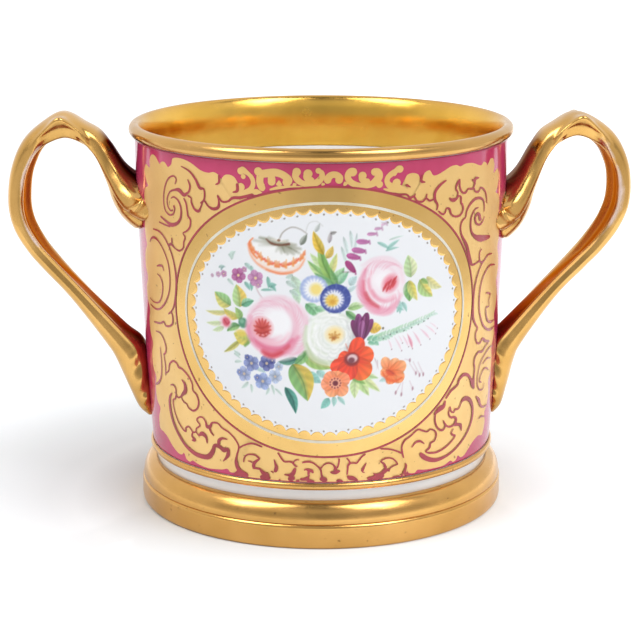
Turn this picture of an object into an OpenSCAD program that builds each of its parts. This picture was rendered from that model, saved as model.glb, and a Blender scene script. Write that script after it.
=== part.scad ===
// Two-handled porcelain loving cup with a crimson ground, gilt borders and two oval reserves.
// Millimetres. Origin on the table under the middle of the foot, +Z up, +X through the right handle.

/* [Cup] */
// Height from the table to the top of the rim
cup_h = 124; // [110:1:140]
// Outer radius of the wall just above the base bead
wall_base_r = 55.5; // [50:0.1:58]
// Outer radius of the wall just under the rolled rim
wall_top_r = 59.7; // [56:0.1:66]
// How far the wall swells out from a straight taper
wall_swell = 0.6; // [0:0.1:2]
// Thickness of the wall
wall_t = 3; // [2:0.1:5]
// Thickness of the floor
floor_t = 4.5; // [3:0.1:7]
// Radius of the curve between the wall and the floor inside
floor_curve_r = 9; // [4:0.5:15]
// Radius of the rolled rim
rim_roll_r = 1.9; // [1.7:0.1:2.8]
// How far the rolled rim stands out past the wall
rim_overhang = 1.65; // [0.8:0.05:2]
// Radius of the turned bead round the base
bead_r = 1; // [0.6:0.1:1.5]
// Height of the plain white band between the foot and the bead
band_h = 3.9; // [2:0.1:6]
// How far the plain white band narrows from the bead down to the foot
band_taper = 0.8; // [0:0.1:1.5]

/* [Foot] */
// Height of the plinth foot
foot_h = 14.2; // [12:0.1:20]
// How far the foot spreads past the base of the wall
foot_spread = 3.6; // [1:0.1:6]
// Height of the lower band of the foot, up to its groove
foot_band_h = 7.6; // [4:0.1:10]
// Radius of the round shoulder of the lower band
foot_shoulder_r = 1; // [0.5:0.1:1.5]
// Depth of the groove over the lower band
foot_groove_d = 0.4; // [0.2:0.05:1]
// Radius of the edge that the foot stands on
foot_edge_r = 1.2; // [0.6:0.1:2]
// Width of the ring that stands on the table
foot_ring_w = 7; // [4:0.5:12]

/* [Handles] */
// Distance from the wall to the outside of the handle loop
handle_reach = 41.6; // [30:0.2:50]
// Height of the handle's crown over the rim
handle_crown = 2.6; // [-6:0.2:8]
// Depth of the middle of the left handle's upper joint under the rim
left_joint_drop = 26.5; // [22:0.5:36]
// Depth of the middle of the right handle's upper joint under the rim
right_joint_drop = 30.5; // [22:0.5:36]
// How far the lower limb of the left handle was bent outwards by hand
left_limb_bow = 2.2; // [-4:0.1:4]
// How far the lower limb of the right handle was bent outwards by hand
right_limb_bow = -2.2; // [-4:0.1:4]
// Height of the handle's lower tip over the base bead
lower_tip_rise = 7; // [3:0.5:14]
// Thickness of the strap
strap_t = 6.6; // [5:0.1:9]
// Width of the strap
strap_w = 15; // [10:0.5:20]
// Twist of the strap on its lower limb, in degrees
strap_roll = 8; // [-12:1:12]
// Width of the leaf pad at the upper joint
pad_w = 45; // [30:0.5:50]
// Height of the leaf pad at the upper joint
pad_h = 16; // [10:0.5:18]

/* [Decoration] */
// Thickness of the crimson enamel
enamel_t = 0.3; // [0.15:0.05:0.5]
// Thickness of the gilding
gilt_t = 0.25; // [0.15:0.05:0.4]
// Depth of the gilding inside the mouth
mouth_gilt_h = 17; // [6:0.5:30]
// Width of the white oval, measured round the wall
oval_w = 87; // [60:1:92]
// Width of the gilt band at the sides of the oval
frame_side = 9.4; // [5:0.1:12]
// Width of the gilt band over and under the oval
frame_top = 8.3; // [4:0.1:10]
// Crimson left bare between the gilt band and the top of the ground
frame_gap_top = 6.9; // [4:0.1:12]
// Crimson left bare between the gilt band and the bottom of the ground
frame_gap_base = 8.4; // [4:0.1:12]
// Width of the scroll gilding, measured round the wall
scroll_w = 138; // [120:1:142]
// Crimson left bare over the scroll gilding
scroll_gap_top = 1; // [0.6:0.1:3]
// Crimson left bare under the scroll gilding
scroll_gap_base = 2.5; // [0.6:0.1:3]
// Depth of the lobes along the edge of the scroll gilding
lobe_d = 1.6; // [0.5:0.1:3]
// Number of lobes along the edge of the scroll gilding
lobe_n = 34; // [16:2:48]

/* [Hidden] */
$fn = 96;

porcelain = [0.95, 0.94, 0.92];
crimson = [0.72, 0.12, 0.28];
gold = [0.85, 0.62, 0.22];

// Clearance of a luted joint and of a coat from what it lies on, and the bare margin at a coat's edge
lute_gap = 0.1;
coat_gap = 0.03;
coat_margin = 0.3;

// Levels, counted up from the table
bead_z = foot_h + band_h + bead_r;
wall_z0 = bead_z + bead_r;
floor_z = foot_h + floor_t;
roll_z = cup_h - rim_roll_r;
roll_r = wall_top_r + rim_overhang - rim_roll_r;
wall_z1 = roll_z - sqrt(pow(rim_roll_r, 2) - pow(wall_top_r - roll_r, 2));
band_step = 0.3;
band_r = wall_base_r - band_step;
neck_r = band_r - band_taper;

// Outside of the clay wall: a straight taper plus a parabolic swell, taken in straight steps
wall_steps = 6;
wall_levels = concat(
    [wall_z0],
    [for (i = [0:wall_steps])
        wall_z0 + coat_margin + (wall_z1 - wall_z0 - 2 * coat_margin) * i / wall_steps],
    [wall_z1]);
wall_table = [for (z = wall_levels)
    let (k = (z - wall_z0) / (wall_z1 - wall_z0))
    [z, wall_base_r + (wall_top_r - wall_base_r) * k + 4 * wall_swell * k * (1 - k)]];
function wall_r(z) = lookup(z, wall_table);

// Points of an arc about c from angle a0 to a1
arc_steps = 16;
function arc(c, r, a0, a1) =
    [for (i = [0:arc_steps])
        let (a = a0 + (a1 - a0) * i / arc_steps)
        [c[0] + r * cos(a), c[1] + r * sin(a)]];

function reversed(list) = [for (i = [len(list) - 1:-1:0]) list[i]];
function after_first(list) = [for (i = [1:len(list) - 1]) list[i]];

// Outline of the wall
wall_line = [for (z = wall_levels) [wall_r(z), z]];

// Angles at which the rolled rim leaves the outside and the inside of the wall
roll_out_angle = -acos((wall_top_r - roll_r) / rim_roll_r);
roll_in_angle = 180;

module turned(points) {
    rotate_extrude()
        polygon(points);
}

module cup_body() {
    // Thrown wall, floor, rolled rim, base bead and plain band, turned as one piece
    inner_base_r = wall_r(floor_z + floor_curve_r) - wall_t;
    curve_c = [inner_base_r - floor_curve_r, floor_z + floor_curve_r];
    inner_line = [for (z = wall_levels) if (z > curve_c[1] + coat_margin) [wall_r(z) - wall_t, z]];
    color(porcelain)
        turned(concat(
            [[0, foot_h], [neck_r, foot_h]],
            arc([band_r, bead_z], bead_r, -90, 90),
            wall_line,
            after_first(arc([roll_r, roll_z], rim_roll_r, roll_out_angle, roll_in_angle)),
            reversed(inner_line),
            arc(curve_c, floor_curve_r, 0, -90),
            [[0, floor_z]]));
}

// Outside of the foot: a quarter round, then the groove over the round shoulder of the lower band
foot_r = wall_base_r + foot_spread;
ovolo_r = foot_r - foot_groove_d;
ovolo_z = foot_band_h + foot_groove_d;
ovolo_steps = 10;
ovolo_line = [for (i = [0:ovolo_steps])
    let (a = 90 * i / ovolo_steps)
    [neck_r + (ovolo_r - neck_r) * sin(a), ovolo_z + (foot_h - ovolo_z) * cos(a)]];
shoulder_angle = 70;
shoulder_c = [foot_r - foot_shoulder_r, foot_band_h - foot_shoulder_r];
shoulder_line = arc(shoulder_c, foot_shoulder_r, shoulder_angle, 0);
foot_line = concat(ovolo_line, shoulder_line);

module plinth_foot() {
    // Hollow ring under the floor, standing on a flat ring
    edge_c = [foot_r - foot_edge_r, foot_edge_r];
    stand_r = edge_c[0] - foot_ring_w;
    color(porcelain)
        turned(concat(
            foot_line,
            arc(edge_c, foot_edge_r, 0, -90),
            [[stand_r, 0], [stand_r - foot_edge_r, foot_h]]));
}

module foot_gilding() {
    // The coat starts a little down the quarter round, where the round is no longer level
    bare_steps = 2;
    gilt_line = [for (i = [bare_steps:ovolo_steps]) ovolo_line[i]];
    shape = concat(gilt_line, shoulder_line, [[foot_r, foot_edge_r + coat_margin]]);
    color(gold)
        turned(concat(
            [for (p = shape) p + [coat_gap, 0]],
            [for (p = reversed(shape)) p + [gilt_t, 0]]));
}

module bead_gilding() {
    edge_angle = 70;
    color(gold)
        turned(concat(
            arc([band_r, bead_z], bead_r + coat_gap, -edge_angle, edge_angle),
            arc([band_r, bead_z], bead_r + gilt_t, edge_angle, -edge_angle)));
}

module rim_gilding() {
    // Over the roll and down the inside of the mouth
    low_z = cup_h - mouth_gilt_h;
    inner_line = concat(
        [for (z = reversed(wall_levels)) if (z > low_z) [wall_r(z) - wall_t, z]],
        [[wall_r(low_z) - wall_t, low_z]]);
    bare_angle = 12;
    start_angle = roll_out_angle + bare_angle;
    color(gold)
        turned(concat(
            arc([roll_r, roll_z], rim_roll_r + coat_gap, start_angle, roll_in_angle),
            [for (p = inner_line) p - [coat_gap, 0]],
            [for (p = reversed(inner_line)) p - [gilt_t, 0]],
            arc([roll_r, roll_z], rim_roll_r + gilt_t, roll_in_angle, start_angle)));
}

// A coat over the whole wall between two distances from the clay
coat_levels = [for (z = wall_levels) if (z > wall_z0 && z < wall_z1) z];
module sleeve(from, to) {
    turned(concat(
        [for (z = coat_levels) [wall_r(z) + from, z]],
        [for (z = reversed(coat_levels)) [wall_r(z) + to, z]]));
}

// Flat shadow, seen along Y, of a point at s round the wall and z up
ground_z0 = wall_z0 + coat_margin;
ground_z1 = wall_z1 - coat_margin;
oval_h = ground_z1 - ground_z0 - frame_gap_top - frame_gap_base - 2 * frame_top;
oval_z = ground_z0 + frame_gap_base + frame_top + oval_h / 2;
scroll_h = ground_z1 - ground_z0 - scroll_gap_top - scroll_gap_base;
scroll_z = ground_z0 + scroll_gap_base + scroll_h / 2;
oval_r = wall_r(oval_z);
outline_steps = 72;
function seen(s, z) = [oval_r * sin(s / oval_r * 180 / PI), z];

function oval_line(half_w, half_h) =
    [for (i = [0:outline_steps - 1])
        let (a = 360 * i / outline_steps)
        seen(half_w * cos(a), oval_z + half_h * sin(a))];

// Cushion-shaped outline whose edge is a row of round lobes
lobe_steps = 6;
corner_power = 0.28;
function softened(c) = sign(c) * pow(abs(c), corner_power);
function scroll_line() =
    [for (i = [0:lobe_n * lobe_steps - 1])
        let (a = 360 * i / (lobe_n * lobe_steps))
        let (dip = lobe_d * (1 - abs(sin(lobe_n * a / 2))))
        seen((scroll_w / 2 - dip) * softened(cos(a)),
             scroll_z + (scroll_h / 2 - dip) * softened(sin(a)))];

// Prism of a flat outline, standing across one half of the cup
reach_y = 2 * wall_top_r;
module across(side) {
    rotate([90, 0, 0])
        translate([0, 0, side > 0 ? 0 : -reach_y])
            linear_extrude(reach_y)
                children();
}

module oval_area(grow_w, grow_h) {
    polygon(oval_line(oval_w / 2 + grow_w, oval_h / 2 + grow_h));
}

module ground_enamel() {
    color(crimson)
        difference() {
            sleeve(coat_gap, enamel_t);
            across(1)
                oval_area(0, 0);
            across(-1)
                oval_area(0, 0);
        }
}

module panel_frame(side) {
    color(gold)
        intersection() {
            sleeve(enamel_t + coat_gap, enamel_t + gilt_t);
            across(side)
                difference() {
                    oval_area(frame_side, frame_top);
                    oval_area(0, 0);
                }
        }
}

module scroll_gilding(side) {
    color(gold)
        intersection() {
            sleeve(enamel_t + coat_gap, enamel_t + gilt_t);
            across(side)
                difference() {
                    polygon(scroll_line());
                    oval_area(frame_side + coat_margin, frame_top + coat_margin);
                }
        }
}

module front_panel_frame() {
    panel_frame(1);
}

module back_panel_frame() {
    panel_frame(-1);
}

module front_scroll_gilding() {
    scroll_gilding(1);
}

module back_scroll_gilding() {
    scroll_gilding(-1);
}

// Stations of a handle, each [share of the reach, share of the height, direction of the strap in degrees,
// share of its thickness, share of its width, share of the leaf pad, share of its twist].
// The first list climbs from the upper joint to the crown, the second falls from there to the lower tip.
rise_stations = [
    [0.00, 0.05, 12, 0.00, 0.00, 1.00, 0.0],
    [0.07, 0.16, 42, 0.95, 0.85, 0.40, 0.0],
    [0.175, 0.41, 57, 1.12, 1.05, 0.06, 0.0],
    [0.276, 0.70, 53, 1.08, 1.02, 0.00, 0.1],
    [0.38, 0.88, 38, 1.12, 1.04, 0.00, 0.2],
    [0.58, 1.00, 0, 1.26, 1.12, 0.00, 0.3]];
fall_stations = [
    [0.815, 0.952, -40, 1.12, 1.06, 0, 0.5],
    [0.944, 0.863, -73, 1.03, 1.00, 0, 0.7],
    [0.98, 0.755, -95, 1.02, 1.00, 0, 0.8],
    [0.94, 0.674, -113, 1.00, 1.00, 0, 0.6],
    [0.84, 0.60, -127, 0.96, 1.00, 0, 0.2],
    [0.715, 0.535, -132, 0.93, 1.00, 0, -0.3],
    [0.49, 0.43, -132, 0.93, 1.00, 0, -0.5],
    [0.205, 0.285, -130, 1.33, 1.02, 0, -0.2],
    [0.092, 0.222, -121, 1.68, 1.10, 0, 0.1],
    [0.045, 0.11, -107, 1.27, 1.10, 0, 0.0],
    [0.022, 0.04, -103, 0.94, 0.90, 0, 0.0],
    [0.01, 0.00, -98, 0.36, 0.40, 0, 0.0]];

tip_z = wall_z0 + lower_tip_rise;
crown_t = strap_t * rise_stations[len(rise_stations) - 1][3];
crown_z = cup_h + handle_crown - crown_t / 2;
path_reach = handle_reach - strap_t / 2;

// Weight of the hand bend: none at the tip, most in the middle of the lower limb, none over its top
limb_top = 0.8;
function limb_weight(v) = sin(180 * min(1, v / limb_top));

// Stations in millimetres: the reach from the wall, the height, and the rest as listed
function knots(joint_drop, limb_bow) =
    let (joint_z = cup_h - joint_drop)
    concat(
        [for (k = rise_stations)
            [path_reach * k[0], joint_z + (crown_z - joint_z) * k[1], k[2], k[3], k[4], k[5], k[6]]],
        [for (k = fall_stations)
            [path_reach * k[0] + limb_bow * limb_weight(k[1]), tip_z + (crown_z - tip_z) * k[1],
             k[2], k[3], k[4], k[5], k[6]]]);

// Curve through the stations: the Catmull-Rom weights of four neighbours
ring_steps = 3;
function clipped(list, i) = list[max(0, min(len(list) - 1, i))];
function between(list, i, t) =
    let (p0 = clipped(list, i - 1), p1 = clipped(list, i))
    let (p2 = clipped(list, i + 1), p3 = clipped(list, i + 2))
    0.5 * (2 * p1 + (p2 - p0) * t + (2 * p0 - 5 * p1 + 4 * p2 - p3) * t * t
        + (3 * p1 - p0 - 3 * p2 + p3) * t * t * t);
function rings_of(list) = concat(
    [for (i = [0:len(list) - 2], j = [0:ring_steps - 1]) between(list, i, j / ring_steps)],
    [list[len(list) - 1]]);

// One point of a ring: a rounded strap section, twisted, bowed to the wall at the leaf pad and kept
// outside the wall's coat everywhere. The first ring lies on the coat. The hand, 1 or -1, is the way it
// twists.
ring_points = 28;
section_power = 0.72;
function rounded(c) = sign(c) * pow(abs(c), section_power);
function seat_r(z) = wall_r(z) + enamel_t + lute_gap;
function ring_point(ring, k, hand) =
    let (a = 360 * k / ring_points)
    let (half_t = (strap_t * ring[3] + pad_h * ring[5]) / 2)
    let (half_w = (strap_w * ring[4] + pad_w * ring[5]) / 2)
    let (flat_t = half_t * rounded(cos(a)), flat_y = half_w * rounded(sin(a)))
    let (roll = hand * strap_roll * ring[6])
    let (rise = flat_t * cos(roll) - flat_y * sin(roll))
    let (y = flat_t * sin(roll) + flat_y * cos(roll))
    let (z = ring[1] + rise * cos(ring[2]))
    let (bow = ring[5] * y * y / (2 * wall_top_r))
    let (x = wall_r(z) + ring[0] - rise * sin(ring[2]) - bow)
    let (r = norm([x, y]))
    let (grow = ring[0] == 0 ? seat_r(z) / r : max(1, seat_r(z) / r))
    [x * grow, y * grow, z];

// End of a handle: a strip of upright slices, so that it follows the round of the wall
quarter = ring_points / 4;
function level_with(k) = (2 * quarter - k + ring_points) % ring_points;
function wrapped(k) = (k + ring_points) % ring_points;
end_faces = concat(
    [for (k = [-quarter:quarter - 2]) [wrapped(k), wrapped(k + 1), level_with(k + 1)]],
    [for (k = [-quarter + 1:quarter - 1]) [wrapped(k), level_with(k + 1), level_with(k)]]);

module handle(joint_drop, limb_bow, hand) {
    ring_list = rings_of(knots(joint_drop, limb_bow));
    rings = len(ring_list);
    points = [for (ring = ring_list, k = [0:ring_points - 1]) ring_point(ring, k, hand)];
    sides = [for (i = [0:rings - 2], k = [0:ring_points - 1])
        let (a = i * ring_points + k)
        let (b = i * ring_points + (k + 1) % ring_points)
        each [[a, b, b + ring_points], [a, b + ring_points, a + ring_points]]];
    last = (rings - 1) * ring_points;
    ends = concat(
        [for (face = end_faces) [face[0], face[2], face[1]]],
        [for (face = end_faces) [for (k = face) last + k]]);
    polyhedron(points, concat(sides, ends), convexity = 6);
}

module right_handle() {
    color(gold)
        handle(right_joint_drop, right_limb_bow, 1);
}

module left_handle() {
    color(gold)
        rotate([0, 0, 180])
            handle(left_joint_drop, left_limb_bow, -1);
}

cup_body();
plinth_foot();
left_handle();
right_handle();
ground_enamel();
front_scroll_gilding();
back_scroll_gilding();
front_panel_frame();
back_panel_frame();
rim_gilding();
bead_gilding();
foot_gilding();
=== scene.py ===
"""Looks of a two-handled porcelain loving cup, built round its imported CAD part. Sizes are in millimetres."""

import math

import bmesh
import bpy
import numpy as np
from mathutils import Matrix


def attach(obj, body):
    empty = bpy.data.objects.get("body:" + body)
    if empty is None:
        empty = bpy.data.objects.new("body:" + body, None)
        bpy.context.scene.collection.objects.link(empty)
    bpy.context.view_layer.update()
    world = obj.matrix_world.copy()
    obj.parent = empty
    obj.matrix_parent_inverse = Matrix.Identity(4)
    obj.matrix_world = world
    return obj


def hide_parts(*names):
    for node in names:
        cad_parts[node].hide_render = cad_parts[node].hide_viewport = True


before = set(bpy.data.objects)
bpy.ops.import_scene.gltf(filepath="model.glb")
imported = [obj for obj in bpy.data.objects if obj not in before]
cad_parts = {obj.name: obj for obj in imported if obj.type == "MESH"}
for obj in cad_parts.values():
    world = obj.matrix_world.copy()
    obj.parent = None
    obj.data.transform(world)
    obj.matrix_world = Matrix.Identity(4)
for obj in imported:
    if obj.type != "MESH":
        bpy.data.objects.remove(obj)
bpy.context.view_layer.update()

# Cup body: white porcelain thrown and turned in one piece, with its floor, rolled rim, base bead and
# plain band. A clear glaze covers it. Every other piece is luted to it or fired on it.
MM = 0.001
TURN = 288
WALL_Z0, WALL_Z1 = 20.1, 120.22
WALL_R0, WALL_R1, SWELL = 55.5, 59.7, 0.6
WALL_T, FLOOR_Z, FLOOR_CURVE = 3.0, 18.7, 9.0
FOOT_H, BAND_R, NECK_R = 14.2, 55.2, 54.4
BEAD_Z, BEAD_R = 19.1, 1.0
ROLL_C, ROLL_R, LIP_Z = (59.45, 122.1), 1.9, 112.0
GLAZE_DEPTH, GLAZE_STRENGTH = 0.0001, 0.15


def wall_r(z):
    """Outer radius of the clay wall: a straight taper plus a parabola that is zero at both ends."""
    k = (np.asarray(z, float) - WALL_Z0) / (WALL_Z1 - WALL_Z0)
    return WALL_R0 + (WALL_R1 - WALL_R0) * k + 4 * SWELL * k * (1 - k)


def unround(angle):
    """How far hand turning left the pot out of round at an angle: two small waves, zero under the handles."""
    return 0.09 * np.sin(2 * angle) + 0.05 * np.sin(4 * angle)


def arc(c, r, a0, a1, n=24):
    """Points of a circle of radius r about c, from angle a0 to a1 in degrees."""
    a = np.radians(np.linspace(a0, a1, n))
    return np.stack([c[0] + r * np.cos(a), c[1] + r * np.sin(a)], -1)


def grid_faces(nu, nv, wrap_u=False, wrap_v=False):
    """Quads of a grid of nu by nv points, numbered row by row. A wrapped side joins its last row to its
    first."""
    i, j = np.meshgrid(np.arange(nu - (not wrap_u)), np.arange(nv - (not wrap_v)), indexing="ij")
    i2, j2 = (i + 1) % nu, (j + 1) % nv
    return np.stack([i * nv + j, i2 * nv + j, i2 * nv + j2, i * nv + j2], -1).reshape(-1, 4)


def linked(name, data):
    """Object of a mesh, lamp or camera, put in the scene."""
    obj = bpy.data.objects.new(name, data)
    bpy.context.collection.objects.link(obj)
    return obj


def piece(name, points, faces, material, node, slot, paint=None):
    """Smooth mesh of points in millimetres. Points that fall together are joined, so seams close."""
    mesh = bpy.data.meshes.new(name)
    mesh.from_pydata((np.asarray(points).reshape(-1, 3) * MM).tolist(), [], np.asarray(faces).tolist())
    if paint is not None:
        opaque = np.ones((len(mesh.vertices), 1))
        colours = np.concatenate([np.asarray(paint).reshape(-1, 3), opaque], 1)
        layer = mesh.color_attributes.new("paint", "FLOAT_COLOR", "POINT")
        layer.data.foreach_set("color", colours.astype(np.float32).ravel())
    work = bmesh.new()
    work.from_mesh(mesh)
    bmesh.ops.remove_doubles(work, verts=work.verts, dist=1e-7)
    work.to_mesh(mesh)
    work.free()
    mesh.polygons.foreach_set("use_smooth", np.ones(len(mesh.polygons), bool))
    mesh.materials.append(material)
    obj = linked(name, mesh)
    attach(obj, "root")
    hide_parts(node)
    return obj


def turned(name, profile, material, node, slot):
    """Profile of (radius, height) points, listed with its outside on its right, turned about the axis."""
    profile = np.asarray(profile, float)
    a = np.linspace(0, 2 * np.pi, TURN, endpoint=False)[:, None]
    r = profile[None, :, 0]
    r = r + unround(a) * (r > 1)
    points = np.stack([r * np.cos(a), r * np.sin(a), np.broadcast_to(profile[None, :, 1], r.shape)], -1)
    return piece(name, points, grid_faces(TURN, len(profile), True, True), material, node, slot)


def finish_of(name, colour, roughness, metallic=0.0):
    """A glossy material with its node tree, principled shader and object coordinates."""
    material = bpy.data.materials.new(name)
    material.use_nodes = True
    tree = material.node_tree
    shader = tree.nodes["Principled BSDF"]
    shader.inputs["Base Color"].default_value = (*colour, 1)
    shader.inputs["Roughness"].default_value = roughness
    shader.inputs["Metallic"].default_value = metallic
    place = tree.nodes.new("ShaderNodeTexCoord").outputs["Object"]
    return material, tree, shader, place


def noise(tree, place, scale, detail=3.0):
    """Noise value with a scale in waves per metre."""
    node = tree.nodes.new("ShaderNodeTexNoise")
    node.inputs["Scale"].default_value = scale
    node.inputs["Detail"].default_value = detail
    tree.links.new(place, node.inputs["Vector"])
    return node.outputs["Fac"]


def ranged(tree, value, low, high, to_low, to_high):
    """Value between low and high, carried to the range between to_low and to_high."""
    span = tree.nodes.new("ShaderNodeMapRange")
    span.inputs["From Min"].default_value = low
    span.inputs["From Max"].default_value = high
    span.inputs["To Min"].default_value = to_low
    span.inputs["To Max"].default_value = to_high
    tree.links.new(value, span.inputs["Value"])
    return span.outputs["Result"]


def graded(tree, value, low, high, stops):
    """Colour ramp over the part of a value between low and high."""
    node = tree.nodes.new("ShaderNodeValToRGB")
    for element, stop in zip(node.color_ramp.elements, stops):
        element.color = (*stop, 1)
    tree.links.new(ranged(tree, value, low, high, 0, 1), node.inputs["Fac"])
    return node.outputs["Color"]


def mixed(tree, factor, first, second):
    """Colour between two colours by a factor."""
    node = tree.nodes.new("ShaderNodeMix")
    node.data_type = "RGBA"
    for value, socket in zip((factor, first, second), (node.inputs[0], node.inputs[6], node.inputs[7])):
        if isinstance(value, tuple):
            socket.default_value = (*value, 1)
        else:
            tree.links.new(value, socket)
    return node.outputs[2]


def maths(tree, operation, first, second):
    """Result of a sum on two values, each of them a socket or a number."""
    node = tree.nodes.new("ShaderNodeMath")
    node.operation = operation
    for value, socket in zip((first, second), node.inputs):
        if isinstance(value, (int, float)):
            socket.default_value = value
        else:
            tree.links.new(value, socket)
    return node.outputs[0]


def roughened(tree, shader, value, depth, strength):
    """Bump of a depth in metres."""
    bump = tree.nodes.new("ShaderNodeBump")
    bump.inputs["Distance"].default_value = depth
    bump.inputs["Strength"].default_value = strength
    tree.links.new(value, bump.inputs["Height"])
    tree.links.new(bump.outputs["Normal"], shader.inputs["Normal"])


def glazed(name, colour, roughness, stops, patch, ripple=None):
    """Glaze or enamel in uneven patches between two colours. Patch is the scale, detail and contrast of their
    noise, and ripple the scale and detail of the waves that firing left."""
    material, tree, shader, place = finish_of(name, colour, roughness)
    scale, detail, contrast = patch
    value = noise(tree, place, scale, detail)
    tree.links.new(graded(tree, value, 0.5 - contrast, 0.5 + contrast, stops), shader.inputs["Base Color"])
    if ripple is not None:
        roughened(tree, shader, noise(tree, place, *ripple), GLAZE_DEPTH, GLAZE_STRENGTH)
    return material


porcelain = glazed("porcelain", (0.86, 0.86, 0.865), 0.12, [(0.84, 0.84, 0.845), (0.88, 0.88, 0.885)],
                   (60, 3, 0.15), (300, 3))

wall_levels = np.linspace(WALL_Z0, WALL_Z1, 60)
wall_line = np.stack([wall_r(wall_levels), wall_levels], -1)
curve_z = FLOOR_Z + FLOOR_CURVE
curve_c = (float(wall_r(curve_z)) - WALL_T - FLOOR_CURVE, curve_z)
inner_levels = np.linspace(LIP_Z, curve_z + 0.3, 50)
inner_line = np.stack([wall_r(inner_levels) - WALL_T, inner_levels], -1)
lip_k = np.sin(np.radians(np.linspace(90, 0, 40)))
lip_levels = LIP_Z + (ROLL_C[1] + ROLL_R - LIP_Z) * lip_k
lip_spread = ROLL_C[0] + WALL_T - wall_r(lip_levels[0])
lip_flare = lip_spread * (1 - np.sqrt(1 - lip_k ** 2.6))
lip_line = np.stack([wall_r(lip_levels) - WALL_T + lip_flare, lip_levels], -1)
roll_a0 = -math.degrees(math.acos((WALL_R1 - ROLL_C[0]) / ROLL_R))
floor_line = np.stack([np.linspace(curve_c[0], 0, 20), np.full(20, FLOOR_Z)], -1)
base_line = np.stack([np.linspace(0, NECK_R, 20), np.full(20, FOOT_H)], -1)
k = np.linspace(0.01, 0.99, 12)
neck_line = np.stack([NECK_R + (BAND_R - NECK_R) * k, FOOT_H + (BEAD_Z - BEAD_R - FOOT_H) * k], -1)
body_line = np.concatenate([
    base_line, neck_line, arc((BAND_R, BEAD_Z), BEAD_R, -90, 90), wall_line,
    arc(ROLL_C, ROLL_R, roll_a0, 90)[1:], lip_line[1:], inner_line[1:],
    arc(curve_c, FLOOR_CURVE, 0, -90), floor_line[1:]])
turned("cup_body", body_line, porcelain, "cup_body", "porcelain")

# Plinth foot: a hollow turned ring of the same clay, luted under the floor. It stands on a flat ring about
# 7 mm wide and is white inside.
FOOT_R, GROOVE_Z, GROOVE_D, SHOULDER_R = 59.1, 7.6, 0.4, 1.0
EDGE_R, STAND_W = 1.2, 7.0
a = np.radians(np.linspace(0, 90, 40))
ovolo = np.stack([NECK_R + (FOOT_R - GROOVE_D - NECK_R) * np.sin(a),
                  GROOVE_Z + GROOVE_D + (FOOT_H - GROOVE_Z - GROOVE_D) * np.cos(a)], -1)
shoulder = arc((FOOT_R - SHOULDER_R, GROOVE_Z - SHOULDER_R), SHOULDER_R, 70, 0, 16)
k = np.linspace(0.08, 0.92, 5)[:, None]
groove = ovolo[-1] + k * (shoulder[0] - ovolo[-1]) - [GROOVE_D, 0] * np.sin(np.pi * k)
lower = np.stack([np.full(12, FOOT_R), np.linspace(GROOVE_Z - SHOULDER_R - 0.1, EDGE_R, 12)], -1)
stand_r = FOOT_R - EDGE_R - STAND_W
foot_outside = np.concatenate([ovolo, groove, shoulder, lower])
foot_line = np.concatenate([
    foot_outside, arc((FOOT_R - EDGE_R, EDGE_R), EDGE_R, 0, -90)[1:],
    np.array([[stand_r + 0.4, 0], [stand_r, 0.3], [stand_r - EDGE_R, FOOT_H]])])
turned("plinth_foot", foot_line[::-1], porcelain, "plinth_foot", "porcelain")

# Gilding of the foot, base bead and rim: burnished gold fired on the glaze, a thin coat that follows the
# mouldings. Inside the mouth it ends in a turned line, 17 mm down.
GILT_T, GILT_GAP, GILT_END_Z = 0.25, 0.02, 107.0
INSIDE_FROM, INSIDE_TO = 0.0594, 0.0572


def gilded(name, low, high, rough_low=0.15, rough_high=0.28):
    """Burnished gold in uneven patches between two colours, with a few dark specks of wear."""
    material, tree, shader, place = finish_of(name, high, 0.22, 1.0)
    patches = graded(tree, noise(tree, place, 45, 5), 0.3, 0.7, [low, high])
    specks = ranged(tree, noise(tree, place, 600, 2), 0.70, 0.76, 0, 0.8)
    tree.links.new(mixed(tree, specks, patches, (0.30, 0.15, 0.05)), shader.inputs["Base Color"])
    rough = ranged(tree, noise(tree, place, 140, 4), 0.3, 0.75, rough_low, rough_high)
    tree.links.new(rough, shader.inputs["Roughness"])
    roughened(tree, shader, noise(tree, place, 220, 4), 0.0002, 0.12)
    return material, tree, shader, place, patches


# Painted shade: the gold of the foot and bead is a darker copy of the scroll gold, for the dim room these
# mouldings reflect.
shade_darkened_gold = gilded("shade_darkened_gold", (0.58, 0.315, 0.085), (0.74, 0.415, 0.13))[0]


def coat(name, line, material):
    """Gilding over a profile line, from just off the surface to the coat's thickness along its normal."""
    line = np.asarray(line, float)
    run = np.gradient(line, axis=0)
    out = np.stack([run[:, 1], -run[:, 0]], -1)
    out /= np.linalg.norm(out, axis=1, keepdims=True)
    taper = np.minimum(1, np.minimum(np.arange(len(line)), np.arange(len(line))[::-1]) / 2)[:, None]
    both = [line + out * (GILT_GAP + (GILT_T - GILT_GAP) * taper), (line + out * GILT_GAP)[::-1]]
    return turned(name, np.concatenate(both), material, name, "gilding")


foot_edge = arc((FOOT_R - EDGE_R, EDGE_R), EDGE_R - 0.1, 0, -75, 12)
foot_skin = np.concatenate([foot_outside[:-1], foot_edge])[::-1]
coat("foot_gilding", foot_skin, shade_darkened_gold)
coat("bead_gilding", arc((BAND_R, BEAD_Z), BEAD_R, -70, 70, 30), shade_darkened_gold)


def from_axis(tree, place):
    """Distance of a place from the axis of the cup, in metres."""
    flat = tree.nodes.new("ShaderNodeVectorMath")
    flat.operation = "MULTIPLY"
    flat.inputs[1].default_value = (1, 1, 0)
    tree.links.new(place, flat.inputs[0])
    length = tree.nodes.new("ShaderNodeVectorMath")
    length.operation = "LENGTH"
    tree.links.new(flat.outputs["Vector"], length.inputs[0])
    return length.outputs["Value"]


# Painted light and shade: outside, the rim gold is a darker copy of the scroll gold; inside the mouth it is
# brighter and more orange.
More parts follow.
